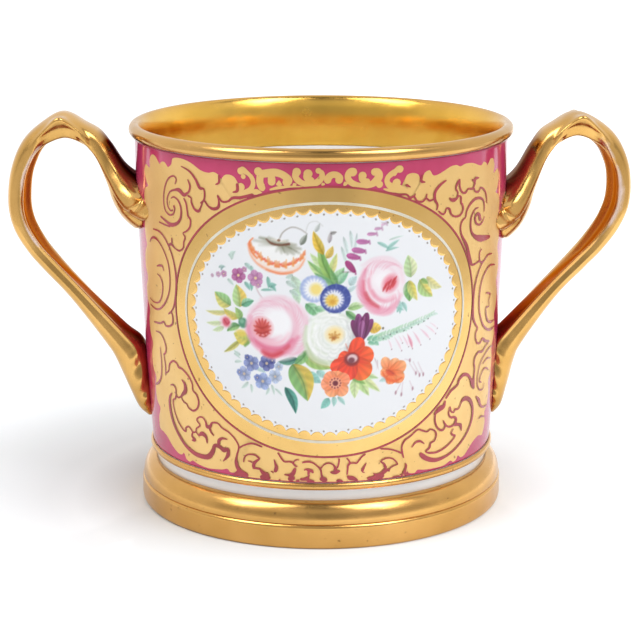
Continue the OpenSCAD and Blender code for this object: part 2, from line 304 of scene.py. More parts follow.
rim_gold, tree, shader, place, outside = gilded("rim_gold", (0.55, 0.31, 0.088), (0.70, 0.405, 0.135))
inside = graded(tree, noise(tree, place, 45, 5), 0.3, 0.7, [(0.80, 0.46, 0.07), (0.92, 0.56, 0.115)])
within = ranged(tree, from_axis(tree, place), INSIDE_FROM, INSIDE_TO, 0, 1)
tree.links.new(mixed(tree, within, outside, inside), shader.inputs["Base Color"])
gilt_levels = np.linspace(LIP_Z, GILT_END_Z, 12)[1:]
mouth = np.concatenate([lip_line[1:], np.stack([wall_r(gilt_levels) - WALL_T, gilt_levels], -1)])
rim_line = np.concatenate([arc(ROLL_C, ROLL_R, roll_a0 + 12, 90, 30), mouth])
coat("rim_gilding", rim_line, rim_gold)

# Crimson ground: one enamel coat all round the wall, with a white oval reserved at the front and the back.
ENAMEL_T, ENAMEL_GAP = 0.15, 0.03
OVAL_W, OVAL_H, OVAL_Z = 46.6, 36.8, 70.9
GROUND_Z0, GROUND_Z1 = 20.4, 119.9
ROUND_R = 58.6
RAYS, RAY_POINTS = 480, 40
crimson = glazed("crimson", (0.52, 0.03, 0.10), 0.10, [(0.50, 0.034, 0.11), (0.62, 0.055, 0.165)],
                 (70, 4, 0.2), (260, 2))


def on_wall(s, z, lift, side=1):
    """Point at s round the wall from the middle of a panel and z up, lifted off the clay.
    Side -1 is the back."""
    a = np.asarray(s) / ROUND_R - side * np.pi / 2
    r = wall_r(z) + lift + unround(a)
    return np.stack(np.broadcast_arrays(r * np.cos(a), r * np.sin(a), z), -1)


def ground_half(side):
    """Rays from the oval to a frame of half the wall; returns the outer and inner skins as one grid."""
    a = np.linspace(0, 2 * np.pi, RAYS, endpoint=False)
    half_w = np.pi / 2 * ROUND_R
    c, d = np.cos(a), np.sin(a)
    s0, z0 = OVAL_W * c, OVAL_Z + OVAL_H * d
    up = np.where(d >= 0, GROUND_Z1 - z0, z0 - GROUND_Z0)
    aside = (half_w - np.abs(s0)) / np.maximum(np.abs(c), 1e-6)
    reach = np.minimum(aside, up / np.maximum(np.abs(d), 1e-6))
    v = np.linspace(0, 1, RAY_POINTS)[:, None]
    s, z = s0 + v * reach * c, z0 + v * reach * d
    return np.concatenate([on_wall(s, z, ENAMEL_T, side), on_wall(s, z, ENAMEL_GAP, side)[::-1]])


halves = [ground_half(1), ground_half(-1)]
half_faces = grid_faces(2 * RAY_POINTS, RAYS, True, True)[:, ::-1]
ground_faces = np.concatenate([half_faces, half_faces + 2 * RAY_POINTS * RAYS])
piece("ground_enamel", np.concatenate(halves), ground_faces, crimson, "ground_enamel", "crimson_enamel")

# Handles: straps moulded in porcelain, bent and luted to the wall by hand, so the two differ a little. The
# upper end spreads into a leaf, the crown is a knuckle, and the gold is worn pale along the edges.
STRAP_T, STRAP_W, ROLL = 6.6, 15.0, 8.0
PAD_W, PAD_H = 45.0, 16.0
STRAP_POINTS, STATION_STEPS, CROWN_AT = 120, 16, 5.1
REACH, CROWN_Z, TIP_Z = 38.3, 122.44, 27.1
# Stations: reach, height, heading in degrees, thickness, width, spread of the leaf, twist
RISE = np.array([
    [0.00, 0.05, 12, 0.00, 0.00, 1.00, 0.0], [0.07, 0.16, 42, 0.95, 0.85, 0.40, 0.0],
    [0.175, 0.41, 57, 1.12, 1.05, 0.06, 0.0], [0.276, 0.70, 53, 1.08, 1.02, 0.00, 0.1],
    [0.38, 0.88, 38, 1.12, 1.04, 0.00, 0.2], [0.58, 1.00, 0, 1.26, 1.12, 0.00, 0.3]])
FALL = np.array([
    [0.815, 0.952, -40, 1.12, 1.06, 0, 0.5], [0.944, 0.863, -73, 1.03, 1.00, 0, 0.7],
    [0.98, 0.755, -95, 1.02, 1.00, 0, 0.8], [0.94, 0.674, -113, 1.00, 1.00, 0, 0.6],
    [0.84, 0.60, -127, 0.96, 1.00, 0, 0.2], [0.715, 0.535, -132, 0.93, 1.00, 0, -0.3],
    [0.49, 0.43, -132, 0.93, 1.00, 0, -0.5], [0.205, 0.285, -130, 1.33, 1.02, 0, -0.2],
    [0.092, 0.222, -121, 1.68, 1.10, 0, 0.1], [0.045, 0.11, -107, 1.27, 1.10, 0, 0.0],
    [0.022, 0.04, -103, 0.94, 0.90, 0, 0.0], [0.01, 0.00, -98, 0.36, 0.40, 0, 0.0]])


def smooth_rows(rows, steps):
    """Catmull-Rom curve through rows of numbers, with that many steps between neighbours."""
    rows = np.asarray(rows, float)
    near = np.concatenate([rows[:1], rows, rows[-1:]])
    t = (np.arange(steps) / steps)[None, :, None]
    p0, p1, p2, p3 = near[:-3, None], near[1:-2, None], near[2:-1, None], near[3:, None]
    curve = 0.5 * (2 * p1 + (p2 - p0) * t + (2 * p0 - 5 * p1 + 4 * p2 - p3) * t ** 2
                   + (3 * p1 - p0 - 3 * p2 + p3) * t ** 3)
    return np.concatenate([curve.reshape(-1, rows.shape[1]), rows[-1:]])


def bell(value, middle, width, power=2):
    """Smooth bump, 1 at its middle and almost 0 past its width. A higher power makes its top flatter."""
    return np.exp(-((value - middle) / width) ** power)


def ramp(value, low, high):
    """Straight climb from 0 at low to 1 at high, or a fall where high is the smaller of the two."""
    return np.clip((value - low) / (high - low), 0, 1)


def handle_relief(at, a, hand):
    """How far the modelling stands off the plain strap: a ridge climbs each side to a knob on the crown,
    with a peak between the knobs. Lips edge the lower channel, and a brow lies over the upper leaf."""
    crown, off = at - CROWN_AT, np.abs(a)
    near = np.clip(1.4 - np.abs(crown) / 1.4, 0, 1)
    crest = np.radians(64 + 50 * np.minimum(1, np.abs(crown) / 1.6))
    ridge = near * (1.25 * bell(off, crest, 0.18) - 0.35 * near * bell(off, crest + 0.42, 0.35))
    knob = 2.5 * bell(crown, 0, 0.30) * bell(off, np.radians(66), 0.34)
    peak = (0.55 - 0.35 * hand) * bell(crown, 0, 0.34) - 0.5 * bell(crown, -0.72, 0.3)
    low = ramp(at, 9, 11) * ramp(at, 15, 12)
    lip = low * (0.9 * bell(off, 2.02, 0.13) - 0.3 * bell(off, 1.70, 0.20))
    brow = bell(at, 1.9, 0.5) * bell(off, np.radians(80), 0.5)
    return ridge + knob + peak * bell(a, 0, 1.0) + lip + brow


def leaf_folds(at, a):
    """How far the folds of the leaf ends stand out: a vein along the upper leaf, waves on the lower one."""
    face = np.abs(a) - np.pi / 2
    vein = at - 0.62 - 0.5 * face
    upper = (0.6 * bell(vein, 0, 0.06) - 0.7 * bell(vein, -0.17, 0.12)) * bell(face, 0, 0.6, 4)
    lower = 0.5 * np.sin(2 * np.pi * (1.3 * at + 0.35 * face)) * bell(face, 0.3, 0.42)
    return upper + lower * ramp(at, 13.9, 14.3) * ramp(at, 16.2, 15.6)


def handle_wear_and_painted_light(at, a, hand):
    """How worn, how dull and how dark each point is: the lips of the channel are worn, its floor was never
    burnished and is tinted red-brown as a painted reflection of the wall it faces, and painted shade darkens
    the crook over the upper joint and the one over the lower joint."""
    inner = np.abs((a + 2 * np.pi - 0.12 * (1 + hand)) % (2 * np.pi) - np.pi)
    lips = (0.95 - 0.1 * hand) * bell(inner, np.radians(67 - 3 * hand), 0.24)
    lips = lips * ramp(at, 5.3, 6.1) * ramp(at, 11, 9.8)
    half = 0.91 + 0.06 * hand - 0.1 * ramp(at, 12.6, 13.6)
    hollow = bell(inner, 0, half, 6) * ramp(at, 5.6, 6.8) * ramp(at, 14.2, 13)
    upper = (0.8 - 0.2 * hand) * bell(a, 0, 0.95, 4) * ramp(at, 0, 0.3) * ramp(at, 3.9, 3.1)
    lower = 0.8 * bell(inner, 0, 0.78, 6) * ramp(at, 11.9, 13.5) * ramp(at, 14.4, 13.8)
    return np.stack(np.broadcast_arrays(lips, hollow, upper + lower), -1)


def handle_points(joint_z, limb_bow, hand):
    """Strap swept along the stations: a rounded section with a channel on its inner face, twisted by the
    hand, bowed to the wall at the leaf and kept outside the enamel. Also returns the wear, painted reflection
    and painted shade of its points."""
    rise = np.column_stack([REACH * RISE[:, 0], joint_z + (CROWN_Z - joint_z) * RISE[:, 1], RISE[:, 2:]])
    bend = limb_bow * np.sin(np.pi * np.minimum(1, FALL[:, 1] / 0.8))
    fall = np.column_stack([REACH * FALL[:, 0] + bend, TIP_Z + (CROWN_Z - TIP_Z) * FALL[:, 1], FALL[:, 2:]])
    ring = smooth_rows(np.concatenate([rise, fall]), STATION_STEPS)
    at = np.arange(len(ring))[:, None] / STATION_STEPS
    out, height, way, thick, wide, pad, twist = [ring[:, i:i + 1] for i in range(7)]
    a = np.linspace(-np.pi, np.pi, STRAP_POINTS, endpoint=False)[None, :]
    c, d = np.cos(a), np.sin(a)
    ends = bell(at, 0, 1.6) + ramp(at, 13, 14.5)
    y0 = np.sign(d) * np.abs(d) ** 0.86
    t0 = np.sign(c) * np.abs(c) ** np.where(c > 0, 0.9, 0.5 + 0.4 * ends)
    limb = ramp(at, 1.5, 3) * ramp(at, 12.6, 10.8)
    channel = 1 - 0.75 * limb * (c < 0) * bell(y0, 0, 0.66, 4)
    relief = handle_relief(at, a, hand)
    t = (STRAP_T * thick + PAD_H * pad) / 2 * t0 * channel + relief * c
    y = (STRAP_W * wide + PAD_W * pad) / 2 * y0 + relief * d + leaf_folds(at, a) * np.sign(d)
    scallop = 1 + 0.14 * pad * (np.abs(np.sin(3 * a)) - 0.6)
    t, y = t * scallop, y * scallop
    roll = hand * np.radians(ROLL) * twist
    rise_by = t * np.cos(roll) - y * np.sin(roll)
    y = t * np.sin(roll) + y * np.cos(roll)
    z = height + rise_by * np.cos(np.radians(way))
    x = wall_r(z) + out - rise_by * np.sin(np.radians(way)) - pad * y ** 2 / (2 * WALL_R1)
    seat = wall_r(z) + ENAMEL_T + 0.05
    r = np.hypot(x, y)
    grow = np.where(at == 0, seat / r, np.maximum(1, seat / r))
    return np.stack([x * grow, y * grow, z], -1), handle_wear_and_painted_light(at, a, hand)


def handle(name, joint_z, limb_bow, hand):
    """Closed sweep: the end rings shrink to a point in the middle of the seat. Hand -1 is the left handle."""
    points, wear_and_painted_light = handle_points(joint_z, limb_bow, hand)
    ends = [points[:1].mean(1, keepdims=True), points[-1:].mean(1, keepdims=True)]
    first, last = [np.repeat(end, STRAP_POINTS, 1) for end in ends]
    points = np.concatenate([first, points, last])
    wear_and_painted_light = np.pad(wear_and_painted_light, ((1, 1), (0, 0), (0, 0)))
    points = points * [hand, hand, 1]
    faces = grid_faces(*points.shape[:2], False, True)
    return piece(name, points, faces, worn_and_shaded_gold, name, "gilded_porcelain", wear_and_painted_light)


def paint_on(tree):
    """What the points of a mesh were painted with, as the sockets of a node."""
    node = tree.nodes.new("ShaderNodeAttribute")
    node.attribute_name = "paint"
    return node.outputs


# Handle gold: a darker copy of the scroll gold as painted shade, with wear, painted reflection and painted
# shade laid on from its points.
worn_and_shaded_gold, tree, shader, place, patches = gilded("worn_and_shaded_gold", (0.56, 0.315, 0.085), (0.78, 0.46, 0.15))
parts = tree.nodes.new("ShaderNodeSeparateColor")
tree.links.new(paint_on(tree)["Color"], parts.inputs["Color"])
wear, dull_and_reflection, dark = [parts.outputs[name] for name in ("Red", "Green", "Blue")]
blotches = ranged(tree, noise(tree, place, 90, 6), 0.3, 0.7, -0.45, 0.45)
bare = ranged(tree, maths(tree, "ADD", wear, blotches), 0.55, 0.95, 0, 1)
colour = mixed(tree, bare, patches, (0.78, 0.61, 0.52))
# Painted reflection: the unburnished floor of the channel, and its sheen, are tinted red-brown for the wall it
# faces.
colour = mixed(tree, dull_and_reflection, colour, (0.56, 0.205, 0.06))
# Painted shade: the crooks over the joints go near black, and so does their sheen.
tree.links.new(mixed(tree, dark, colour, (0.10, 0.03, 0.03)), shader.inputs["Base Color"])
edge = mixed(tree, dull_and_reflection, (1.0, 1.0, 1.0), (0.70, 0.30, 0.13))
tree.links.new(mixed(tree, dark, edge, (0.22, 0.07, 0.06)), shader.inputs["Specular Tint"])
tree.links.new(ranged(tree, bare, 0, 1, 1.0, 0.15), shader.inputs["Metallic"])
rough = ranged(tree, noise(tree, place, 160, 4), 0.3, 0.75, 0.14, 0.30)
tree.links.new(maths(tree, "ADD", rough, maths(tree, "MULTIPLY", dull_and_reflection, 0.12)), shader.inputs["Roughness"])

handle("left_handle", 97.5, 2.2, -1)
handle("right_handle", 93.5, -2.2, 1)

# Gilt frame of each reserve: a gold band whose inner edge is a row of lobes, with a cream line along it and a
# small dot in each cusp. A crimson line of bare ground parts it from the scrolls.
PANEL_TURN = 1.7
BAND = np.array([52.9, 42.1])
RING = np.array([47.8, 37.2])
LOBES, LOBE_STEPS, LOBE_IN, LOBE_D = 63, 12, np.array([45.1, 35.3]), 1.35
RING_W, CRIMSON_W = 0.85, 0.62
GOLD_LIFT, LINE_LIFT, PANEL_LIFT = 0.20, 0.31, 0.10

band_gold = gilded("band_gold", (0.69, 0.43, 0.135), (0.80, 0.52, 0.19), 0.13, 0.22)[0]
line_crimson = glazed("line_crimson", (0.40, 0.045, 0.06), 0.22, [(0.34, 0.038, 0.045), (0.46, 0.052, 0.075)],
                      (120, 3, 0.15))
cream = glazed("cream", (0.74, 0.68, 0.54), 0.15, [(0.66, 0.60, 0.46), (0.80, 0.75, 0.62)], (120, 3, 0.15))


def sheet(sz, lift, side=1):
    """Grid of (s, z) points laid on the wall at a lift, as points and faces that look outward."""
    faces = grid_faces(*sz.shape[:2])
    a, b, c = [sz.reshape(-1, 2)[faces[:, i]] for i in range(3)]
    ab, ac = b - a, c - a
    if (ab[:, 0] * ac[:, 1] - ab[:, 1] * ac[:, 0]).sum() < 0:
        faces = faces[:, ::-1]
    return on_wall(sz[..., 0], sz[..., 1], lift, side).reshape(-1, 3), faces


def combined(sheets):
    """Several sheets as one list of points and one of faces."""
    starts = np.cumsum([0] + [len(points) for points, _ in sheets[:-1]])
    return (np.concatenate([points for points, _ in sheets]),
            np.concatenate([faces + k for (_, faces), k in zip(sheets, starts)]))


def oval(axes, angle):
    """Points of an upright ellipse about the middle of the panel."""
    return np.stack([axes[0] * np.cos(angle), OVAL_Z + axes[1] * np.sin(angle)], -1)


def even_angles(axes, n):
    """Angles that part an ellipse in n equal lengths."""
    a = np.linspace(0, 2 * np.pi, 4001)
    step = np.linalg.norm(np.diff(oval(axes, a), axis=0), axis=1)
    share = np.concatenate([[0], np.cumsum(step)]) / step.sum()
    return np.interp(np.linspace(0, 1, n + 1), share, a)


def between(inner, outer, n):
    """Rows of points from an inner line to an outer one."""
    v = np.linspace(0, 1, n)[:, None, None]
    return inner[None] + v * (outer - inner)[None]


def ring_line(axes, width):
    """Even line along an ellipse."""
    a = even_angles(axes, 720)
    return between(oval(axes - width / 2, a), oval(axes + width / 2, a), 3)


def ribbon(rows, steps=7):
    """Brush stroke: the smooth line of [s, z, width] rows, spread by half its width to both sides,
    with round ends."""
    line = smooth_rows(rows, steps)
    run = np.gradient(line[:, :2], axis=0)
    run /= np.linalg.norm(run, axis=1, keepdims=True) + 1e-9
    across = np.stack([-run[:, 1], run[:, 0]], -1)
    along = np.concatenate([[0], np.cumsum(np.linalg.norm(np.diff(line[:, :2], axis=0), axis=1))])
    half = line[:, 2] / 2
    near = np.minimum(1, np.minimum(along, along[-1] - along) / np.maximum(half, 0.001))
    half = half * np.sqrt(np.clip(1 - (1 - near) ** 2, 0.01, 1))
    sides = np.array([-1, -0.5, 0, 0.5, 1])[None, :, None]
    return line[:, None, :2] + across[:, None] * half[:, None, None] * sides


for side, where in ((1, "front"), (-1, "back")):
    a = even_angles(LOBE_IN, LOBES * LOBE_STEPS)
    lobe = np.abs(np.sin(np.pi * np.arange(len(a)) / LOBE_STEPS)) ** 0.7
    edge = oval(LOBE_IN, a) - (LOBE_D * lobe)[:, None] * np.stack([np.cos(a), np.sin(a)], -1)
    band = between(edge, oval(BAND, a), 16)
    lift = np.full(band.shape[:2], GOLD_LIFT)
    lift[0] = PANEL_LIFT + 0.02
    frame_node = where + "_panel_frame"
    piece(frame_node, *sheet(band, lift, side), band_gold, frame_node, "gilding")
    cream_ring = sheet(ring_line(RING, RING_W), LINE_LIFT, side)
    piece(where + "_cream_ring", *cream_ring, cream, frame_node, "porcelain")
    crimson_ring = sheet(ring_line(BAND, CRIMSON_W), LINE_LIFT, side)
    piece(where + "_crimson_ring", *crimson_ring, line_crimson, frame_node, "crimson_enamel")

# Flower panels: overglaze colours painted by hand on the white of each reserve and fired on, with a fine
# dot at each cusp of the frame. The back of the cup isn't in the picture, so it gets the same spray the
# other way round.
PANEL = np.array([46.5, 36.7])
WHITE = np.array([238.0, 239.0, 242.0])
DOT_IN, DOT_R, DOT_COLOUR = 1.5, 0.3, (112, 96, 84)
DEPTH_OF_COLOUR = 1.15


class Painting:
    """Colours of a grid of (s, z) points, laid one over another as a painter does. They run from 0 to 255."""

    def __init__(self, s, z, ground):
        self.s, self.z = s.ravel(), z.ravel()
        self.colour = np.tile(np.asarray(ground, float), (self.s.size, 1))

    def near(self, points, reach):
        """Numbers of the grid points in the box round some points, with a margin."""
        low, high = np.min(points, 0) - reach, np.max(points, 0) + reach
        beside = (self.s > low[0]) & (self.s < high[0])
        return np.nonzero(beside & (self.z > low[1]) & (self.z < high[1]))[0]

    def lay(self, at, colour, cover):
        """Blends a colour over what is there, by the cover at each point."""
        self.colour[at] += (colour - self.colour[at]) * np.clip(cover, 0, 1)[:, None]

    def stroke(self, rows, colour, cover=0.9, soft=0.25):
        """Brush stroke along the smooth line of [s, z, width] rows: full within half the width of the nearest
        part of the line, gone a little beyond it."""
        line = smooth_rows(rows, 5)
        at = self.near(line[:, :2], line[:, 2].max() / 2 + 2 * soft)
        a, b = line[:-1], line[1:]
        run = b[:, :2] - a[:, :2]
        x, y = self.s[at, None] - a[:, 0], self.z[at, None] - a[:, 1]
        t = np.clip((x * run[:, 0] + y * run[:, 1]) / np.maximum((run ** 2).sum(1), 1e-9), 0, 1)
        off = np.hypot(x - t * run[:, 0], y - t * run[:, 1]) - (a[:, 2] + t * (b[:, 2] - a[:, 2])) / 2
        self.lay(at, np.array(colour, float), cover * np.clip(0.5 - off.min(1) / (2 * soft), 0, 1))

    def blot(self, s, z, rs, rz, colour, cover=0.9, soft=0.4, turn=0.0):
        """Soft-edged ellipse, turned by an angle in degrees."""
        at = self.near(np.array([[s, z]]), max(rs, rz) * (1 + soft) + 0.3)
        x, y = self.s[at] - s, self.z[at] - z
        c, d = math.cos(math.radians(turn)), math.sin(math.radians(turn))
        q = np.hypot((x * c + y * d) / rs, (y * c - x * d) / rz)
        self.lay(at, np.array(colour, float), cover * np.clip((1 + soft / 2 - q) / soft, 0, 1))

    def leaf(self, base, tip, width, left, right, bend=0.0, rib=None, cover=0.88, broad=0.75):
        """Leaf from base to tip: each half in its own colour, deeper along the rib, with a few soft veins.
        It is broadest near the base where broad is under 1, and near the tip where it is over 1."""
        base, tip = np.array(base, float), np.array(tip, float)
        length = np.linalg.norm(tip - base)
        along = (tip - base) / length
        at = self.near(np.stack([base, tip]), width / 2 + abs(bend) + 0.4)
        x, y = self.s[at] - base[0], self.z[at] - base[1]
        u = (x * along[0] + y * along[1]) / length
        k = np.clip(u, 0, 1)
        v = y * along[0] - x * along[1] - bend * 4 * k * (1 - k)
        half = width / 2 * np.sin(np.pi * k ** broad) ** 0.8
        q = v / np.maximum(half, 0.05)
        side = np.clip(0.5 + q / 0.7, 0, 1)[:, None]
        colour = np.array(right, float) * (1 - side) + np.array(left, float) * side
        veins = 0.045 * min(1, width / 4) * np.cos(2 * np.pi * (4.5 * u - 0.9 * np.abs(q)))
        light = 0.97 + veins + 0.10 * np.abs(q) - 0.12 * np.exp(-(u / 0.22) ** 2)
        self.lay(at, np.clip(colour * light[:, None], 0, 255),
                 cover * np.clip((half - np.abs(v)) / 0.4 + 0.3, 0, 1) * ((u > 0) & (u < 1)))
        if rib is not None:
            mid = base + (tip - base) * np.array([[0.02], [0.5], [0.92]])
            mid[1] += bend * np.array([-along[1], along[0]])
            self.stroke(np.column_stack([mid, [0.38, 0.3, 0.12]]), rib, 0.65)

    def petal(self, base, angle, length, width, inner, outer, cover=0.92, streaks=0.05):
        """Rounded petal from base along an angle in degrees, shaded from its inner to its outer colour."""
        a = math.radians(angle)
        at = self.near(np.array([base]), length * 1.15 + 0.3)
        x, y = self.s[at] - base[0], self.z[at] - base[1]
        u = (x * math.cos(a) + y * math.sin(a)) / length
        v = y * math.cos(a) - x * math.sin(a)
        k = np.clip(u, 0, 1)
        half = width / 2 * np.sqrt(np.clip(1 - ((k - 0.6) / np.where(k > 0.6, 0.4, 0.64)) ** 2, 0, 1))
        mix = np.clip(k * 1.2 - 0.1, 0, 1)[:, None]
        colour = np.array(inner, float) * (1 - mix) + np.array(outer, float) * mix
        fan = np.cos(17 * np.arctan2(v, np.maximum(u, 0.03) * length) + angle)
        light = 1 + streaks * fan * k - 0.12 * (np.abs(v) / np.maximum(half, 0.05)) ** 4 * (u < 0.8)
        self.lay(at, np.clip(colour * light[:, None], 0, 255),
                 cover * np.clip((half - np.abs(v)) / 0.35 + 0.35, 0, 1) * ((u > 0) & (u < 1)))

    def blossom(self, s, z, r, n, inner, outer, heart, turn=0.0):
        """Small open flower of n petals round a heart."""
        for a in turn + np.arange(n) * 360 / n:
            self.petal((s, z), a, r, 4.6 * r / n, inner, outer, 0.82)
        self.blot(s, z, 0.17 * r, 0.17 * r, heart, 0.95, 0.6)

    def rays(self, s, z, r0, r1, angles, width, colour, cover=0.7):
        """Short strokes outward from a middle, each from radius r0 to r1 and widening."""
        for a in np.radians(angles):
            c, d = math.cos(a), math.sin(a)
            rows = [(s + r0 * c, z + r0 * d, width / 3), (s + r1 * c, z + r1 * d, width)]
            self.stroke(rows, colour, cover)

    def hatch(self, middle, angles, radii, curl, colour, sway, beats, tall=1.0):
        """Fine curled strokes round the heart of a rose. Radii are the mean inner end, its sway and the
        outer end; the two beats set how the ends and the colour sway from stroke to stroke."""
        for i, a in enumerate(np.radians(angles)):
            wave = math.sin(beats[0] * i)
            r0, r1 = radii[0] + radii[1] * wave, radii[2] + 0.3 * math.cos(beats[1] * i)
            turn = a + np.array(curl)
            away = r0 + (r1 - r0) * np.array([0, 0.45, 0.8, 1])
            s, z = middle[0] + away * np.cos(turn), middle[1] + tall * away * np.sin(turn)
            rows = np.column_stack([s, z, [0.1, 0.3, 0.3, 0.1]])
            self.stroke(rows, colour + wave * np.array(sway), 0.36, 0.25)


def toned(colour, share):
    """A colour with a share of its light."""
    return tuple(share * v for v in colour)


def paint_pale_leaves(p):
    """Pale leaves and stalks at the back of the spray."""
    mist, teal, sea = (200, 219, 211), (160, 206, 197), (134, 188, 175)
    for s, z, ds, dz, width, colour in [
            (-8.4, 86.2, -2.4, -1.0, 2.0, mist), (-8.6, 85.8, 2.6, -6, 3.0, (196, 220, 196)),
            (-8.4, 82.0, 1.8, -5, 2.6, (190, 218, 190)), (-10.6, 84.2, 3.4, -2.2, 2.0, mist),
            (-9.6, 81.4, 3.0, -1.8, 1.8, mist), (8.4, 99.8, .6, -6, 1.4, (214, 228, 226)),
            (6.4, 98, 1.6, -7, 1.4, (214, 228, 226)), (5.8, 95, 2, -7, 1.4, (212, 228, 224)),
            (10.5, 99, -1.5, -9, 1.2, (216, 228, 228)), (16.6, 95.8, 4.4, -2.6, 1.3, teal),
            (19.6, 93.4, 4.2, 2.8, 1.4, teal), (19.2, 93.0, 4.4, .8, 1.0, teal),
            (20.2, 96.2, 5, 1.0, .8, mist), (-28.4, 90.6, 2.2, 1.8, 1.6, mist),
            (-27.8, 89.6, 1.0, 2.6, 1.3, mist), (-28.8, 91.4, 1.2, -1.8, 1.0, mist),
            (-23.4, 89.0, 2.2, -2.2, 1.6, (178, 208, 200)), (-21.4, 88.4, .4, -3, 1.3, (170, 205, 196)),
            (-23.6, 83.2, 1.8, -2.6, 1.5, sea), (-21.6, 83.4, .2, -3, 1.3, sea),
            (-16.2, 85.4, .2, -3.8, 1.4, sea), (-15.8, 82.2, 2.4, .8, 1.9, sea),
            (-18.4, 81.0, 4.4, .2, 1.0, sea), (-15.2, 82.6, 1.6, -1.8, 1.2, sea),
            (-29.4, 83.6, 2.2, -2, 1.4, mist), (-32.4, 86.8, 2.6, .4, 1.2, (170, 196, 190)),
            (-31.6, 85.8, 1.2, 1.6, .8, (150, 176, 176)), (8.4, 83, 2.2, 2.8, 2.6, (190, 216, 216)),
            (7.8, 81, 3, 1.8, 1.8, (200, 220, 222)), (24.0, 77.4, .4, -4.4, 1.9, teal),
            (25, 76.8, 1.8, -3.4, 1.5, teal), (22.8, 75.4, 3, -1.4, 1.2, teal),
            (23.4, 73.6, 1.2, 1.8, 1.0, teal), (-25.6, 60, -2.4, 1.4, 1.4, mist),
            (-27.8, 57.6, 2.8, .4, 1.2, mist), (-20, 60, -3.4, -3, 1.4, mist),
            (-28, 60.4, 2.4, -1.6, 1.0, mist), (-23.2, 51.8, -2.6, -2.4, 1.4, mist),
            (-22.4, 51.2, .2, -3, 1.2, mist), (-15.6, 51.6, .8, -3.4, 1.2, mist),
            (-16.4, 50.6, -1.2, -2.6, 1.2, mist), (-14.5, 50.4, 2.4, -2.4, 1.0, mist),
            (-20.6, 56.4, 3.4, -1.2, 1.6, (186, 210, 214)), (2.4, 47.8, -2.6, -3.4, 2.6, (126, 196, 182)),
            (3.8, 48.4, .0, -3.4, 1.8, teal), (5.0, 48.2, 2.4, -2.8, 1.5, teal),
            (21, 53.6, -3, -1.2, 1.8, (184, 214, 212)), (-5, 55.6, 5, -3, 3.4, (134, 194, 184)),
            (-1.5, 56.4, 3.2, -2.4, 2.4, (160, 208, 200)), (16.4, 60, 1.6, -4.4, .8, (226, 214, 218)),
            (17.4, 59.4, -.2, -3.4, .6, (222, 208, 214))]:
        p.leaf((s, z), (s + ds, z + dz), width, colour, toned(colour, 0.94), 0.2, None, 0.8)
    for rows, colour, cover in [
            ([(-12.6, 96.4, .4), (-11.4, 99, .32), (-8.8, 100.7, .3), (-6.2, 100.2, .25),
              (-4.2, 98.8, .22)], (156, 146, 138), .75),
            ([(-4.5, 99.6, .2), (-3.6, 102, .2), (-1.4, 102.6, .2), (.4, 101.2, .2)], (206, 206, 204), .7),
            ([(-20.4, 83, .25), (-19, 80, .3), (-17.2, 77.8, .25)], (196, 164, 170), .7)]:
        p.stroke(rows, colour, cover)
    for base, tip, width, left, right in [
            ((-6.2, 95.4), (-4.2, 98.8), 1.9, (170, 174, 164), (112, 120, 106)),
            ((-1.8, 99.4), (-.4, 102.2), 1.5, (206, 210, 208), (176, 182, 178)),
            ((2.2, 96), (2.8, 99.8), 1.5, (196, 190, 190), (166, 156, 162)),
            ((2.6, 98.8), (4.6, 99.4), 1.2, (132, 128, 126), (160, 158, 156))]:
        p.leaf(base, tip, width, left, right, 0, None, 0.8)


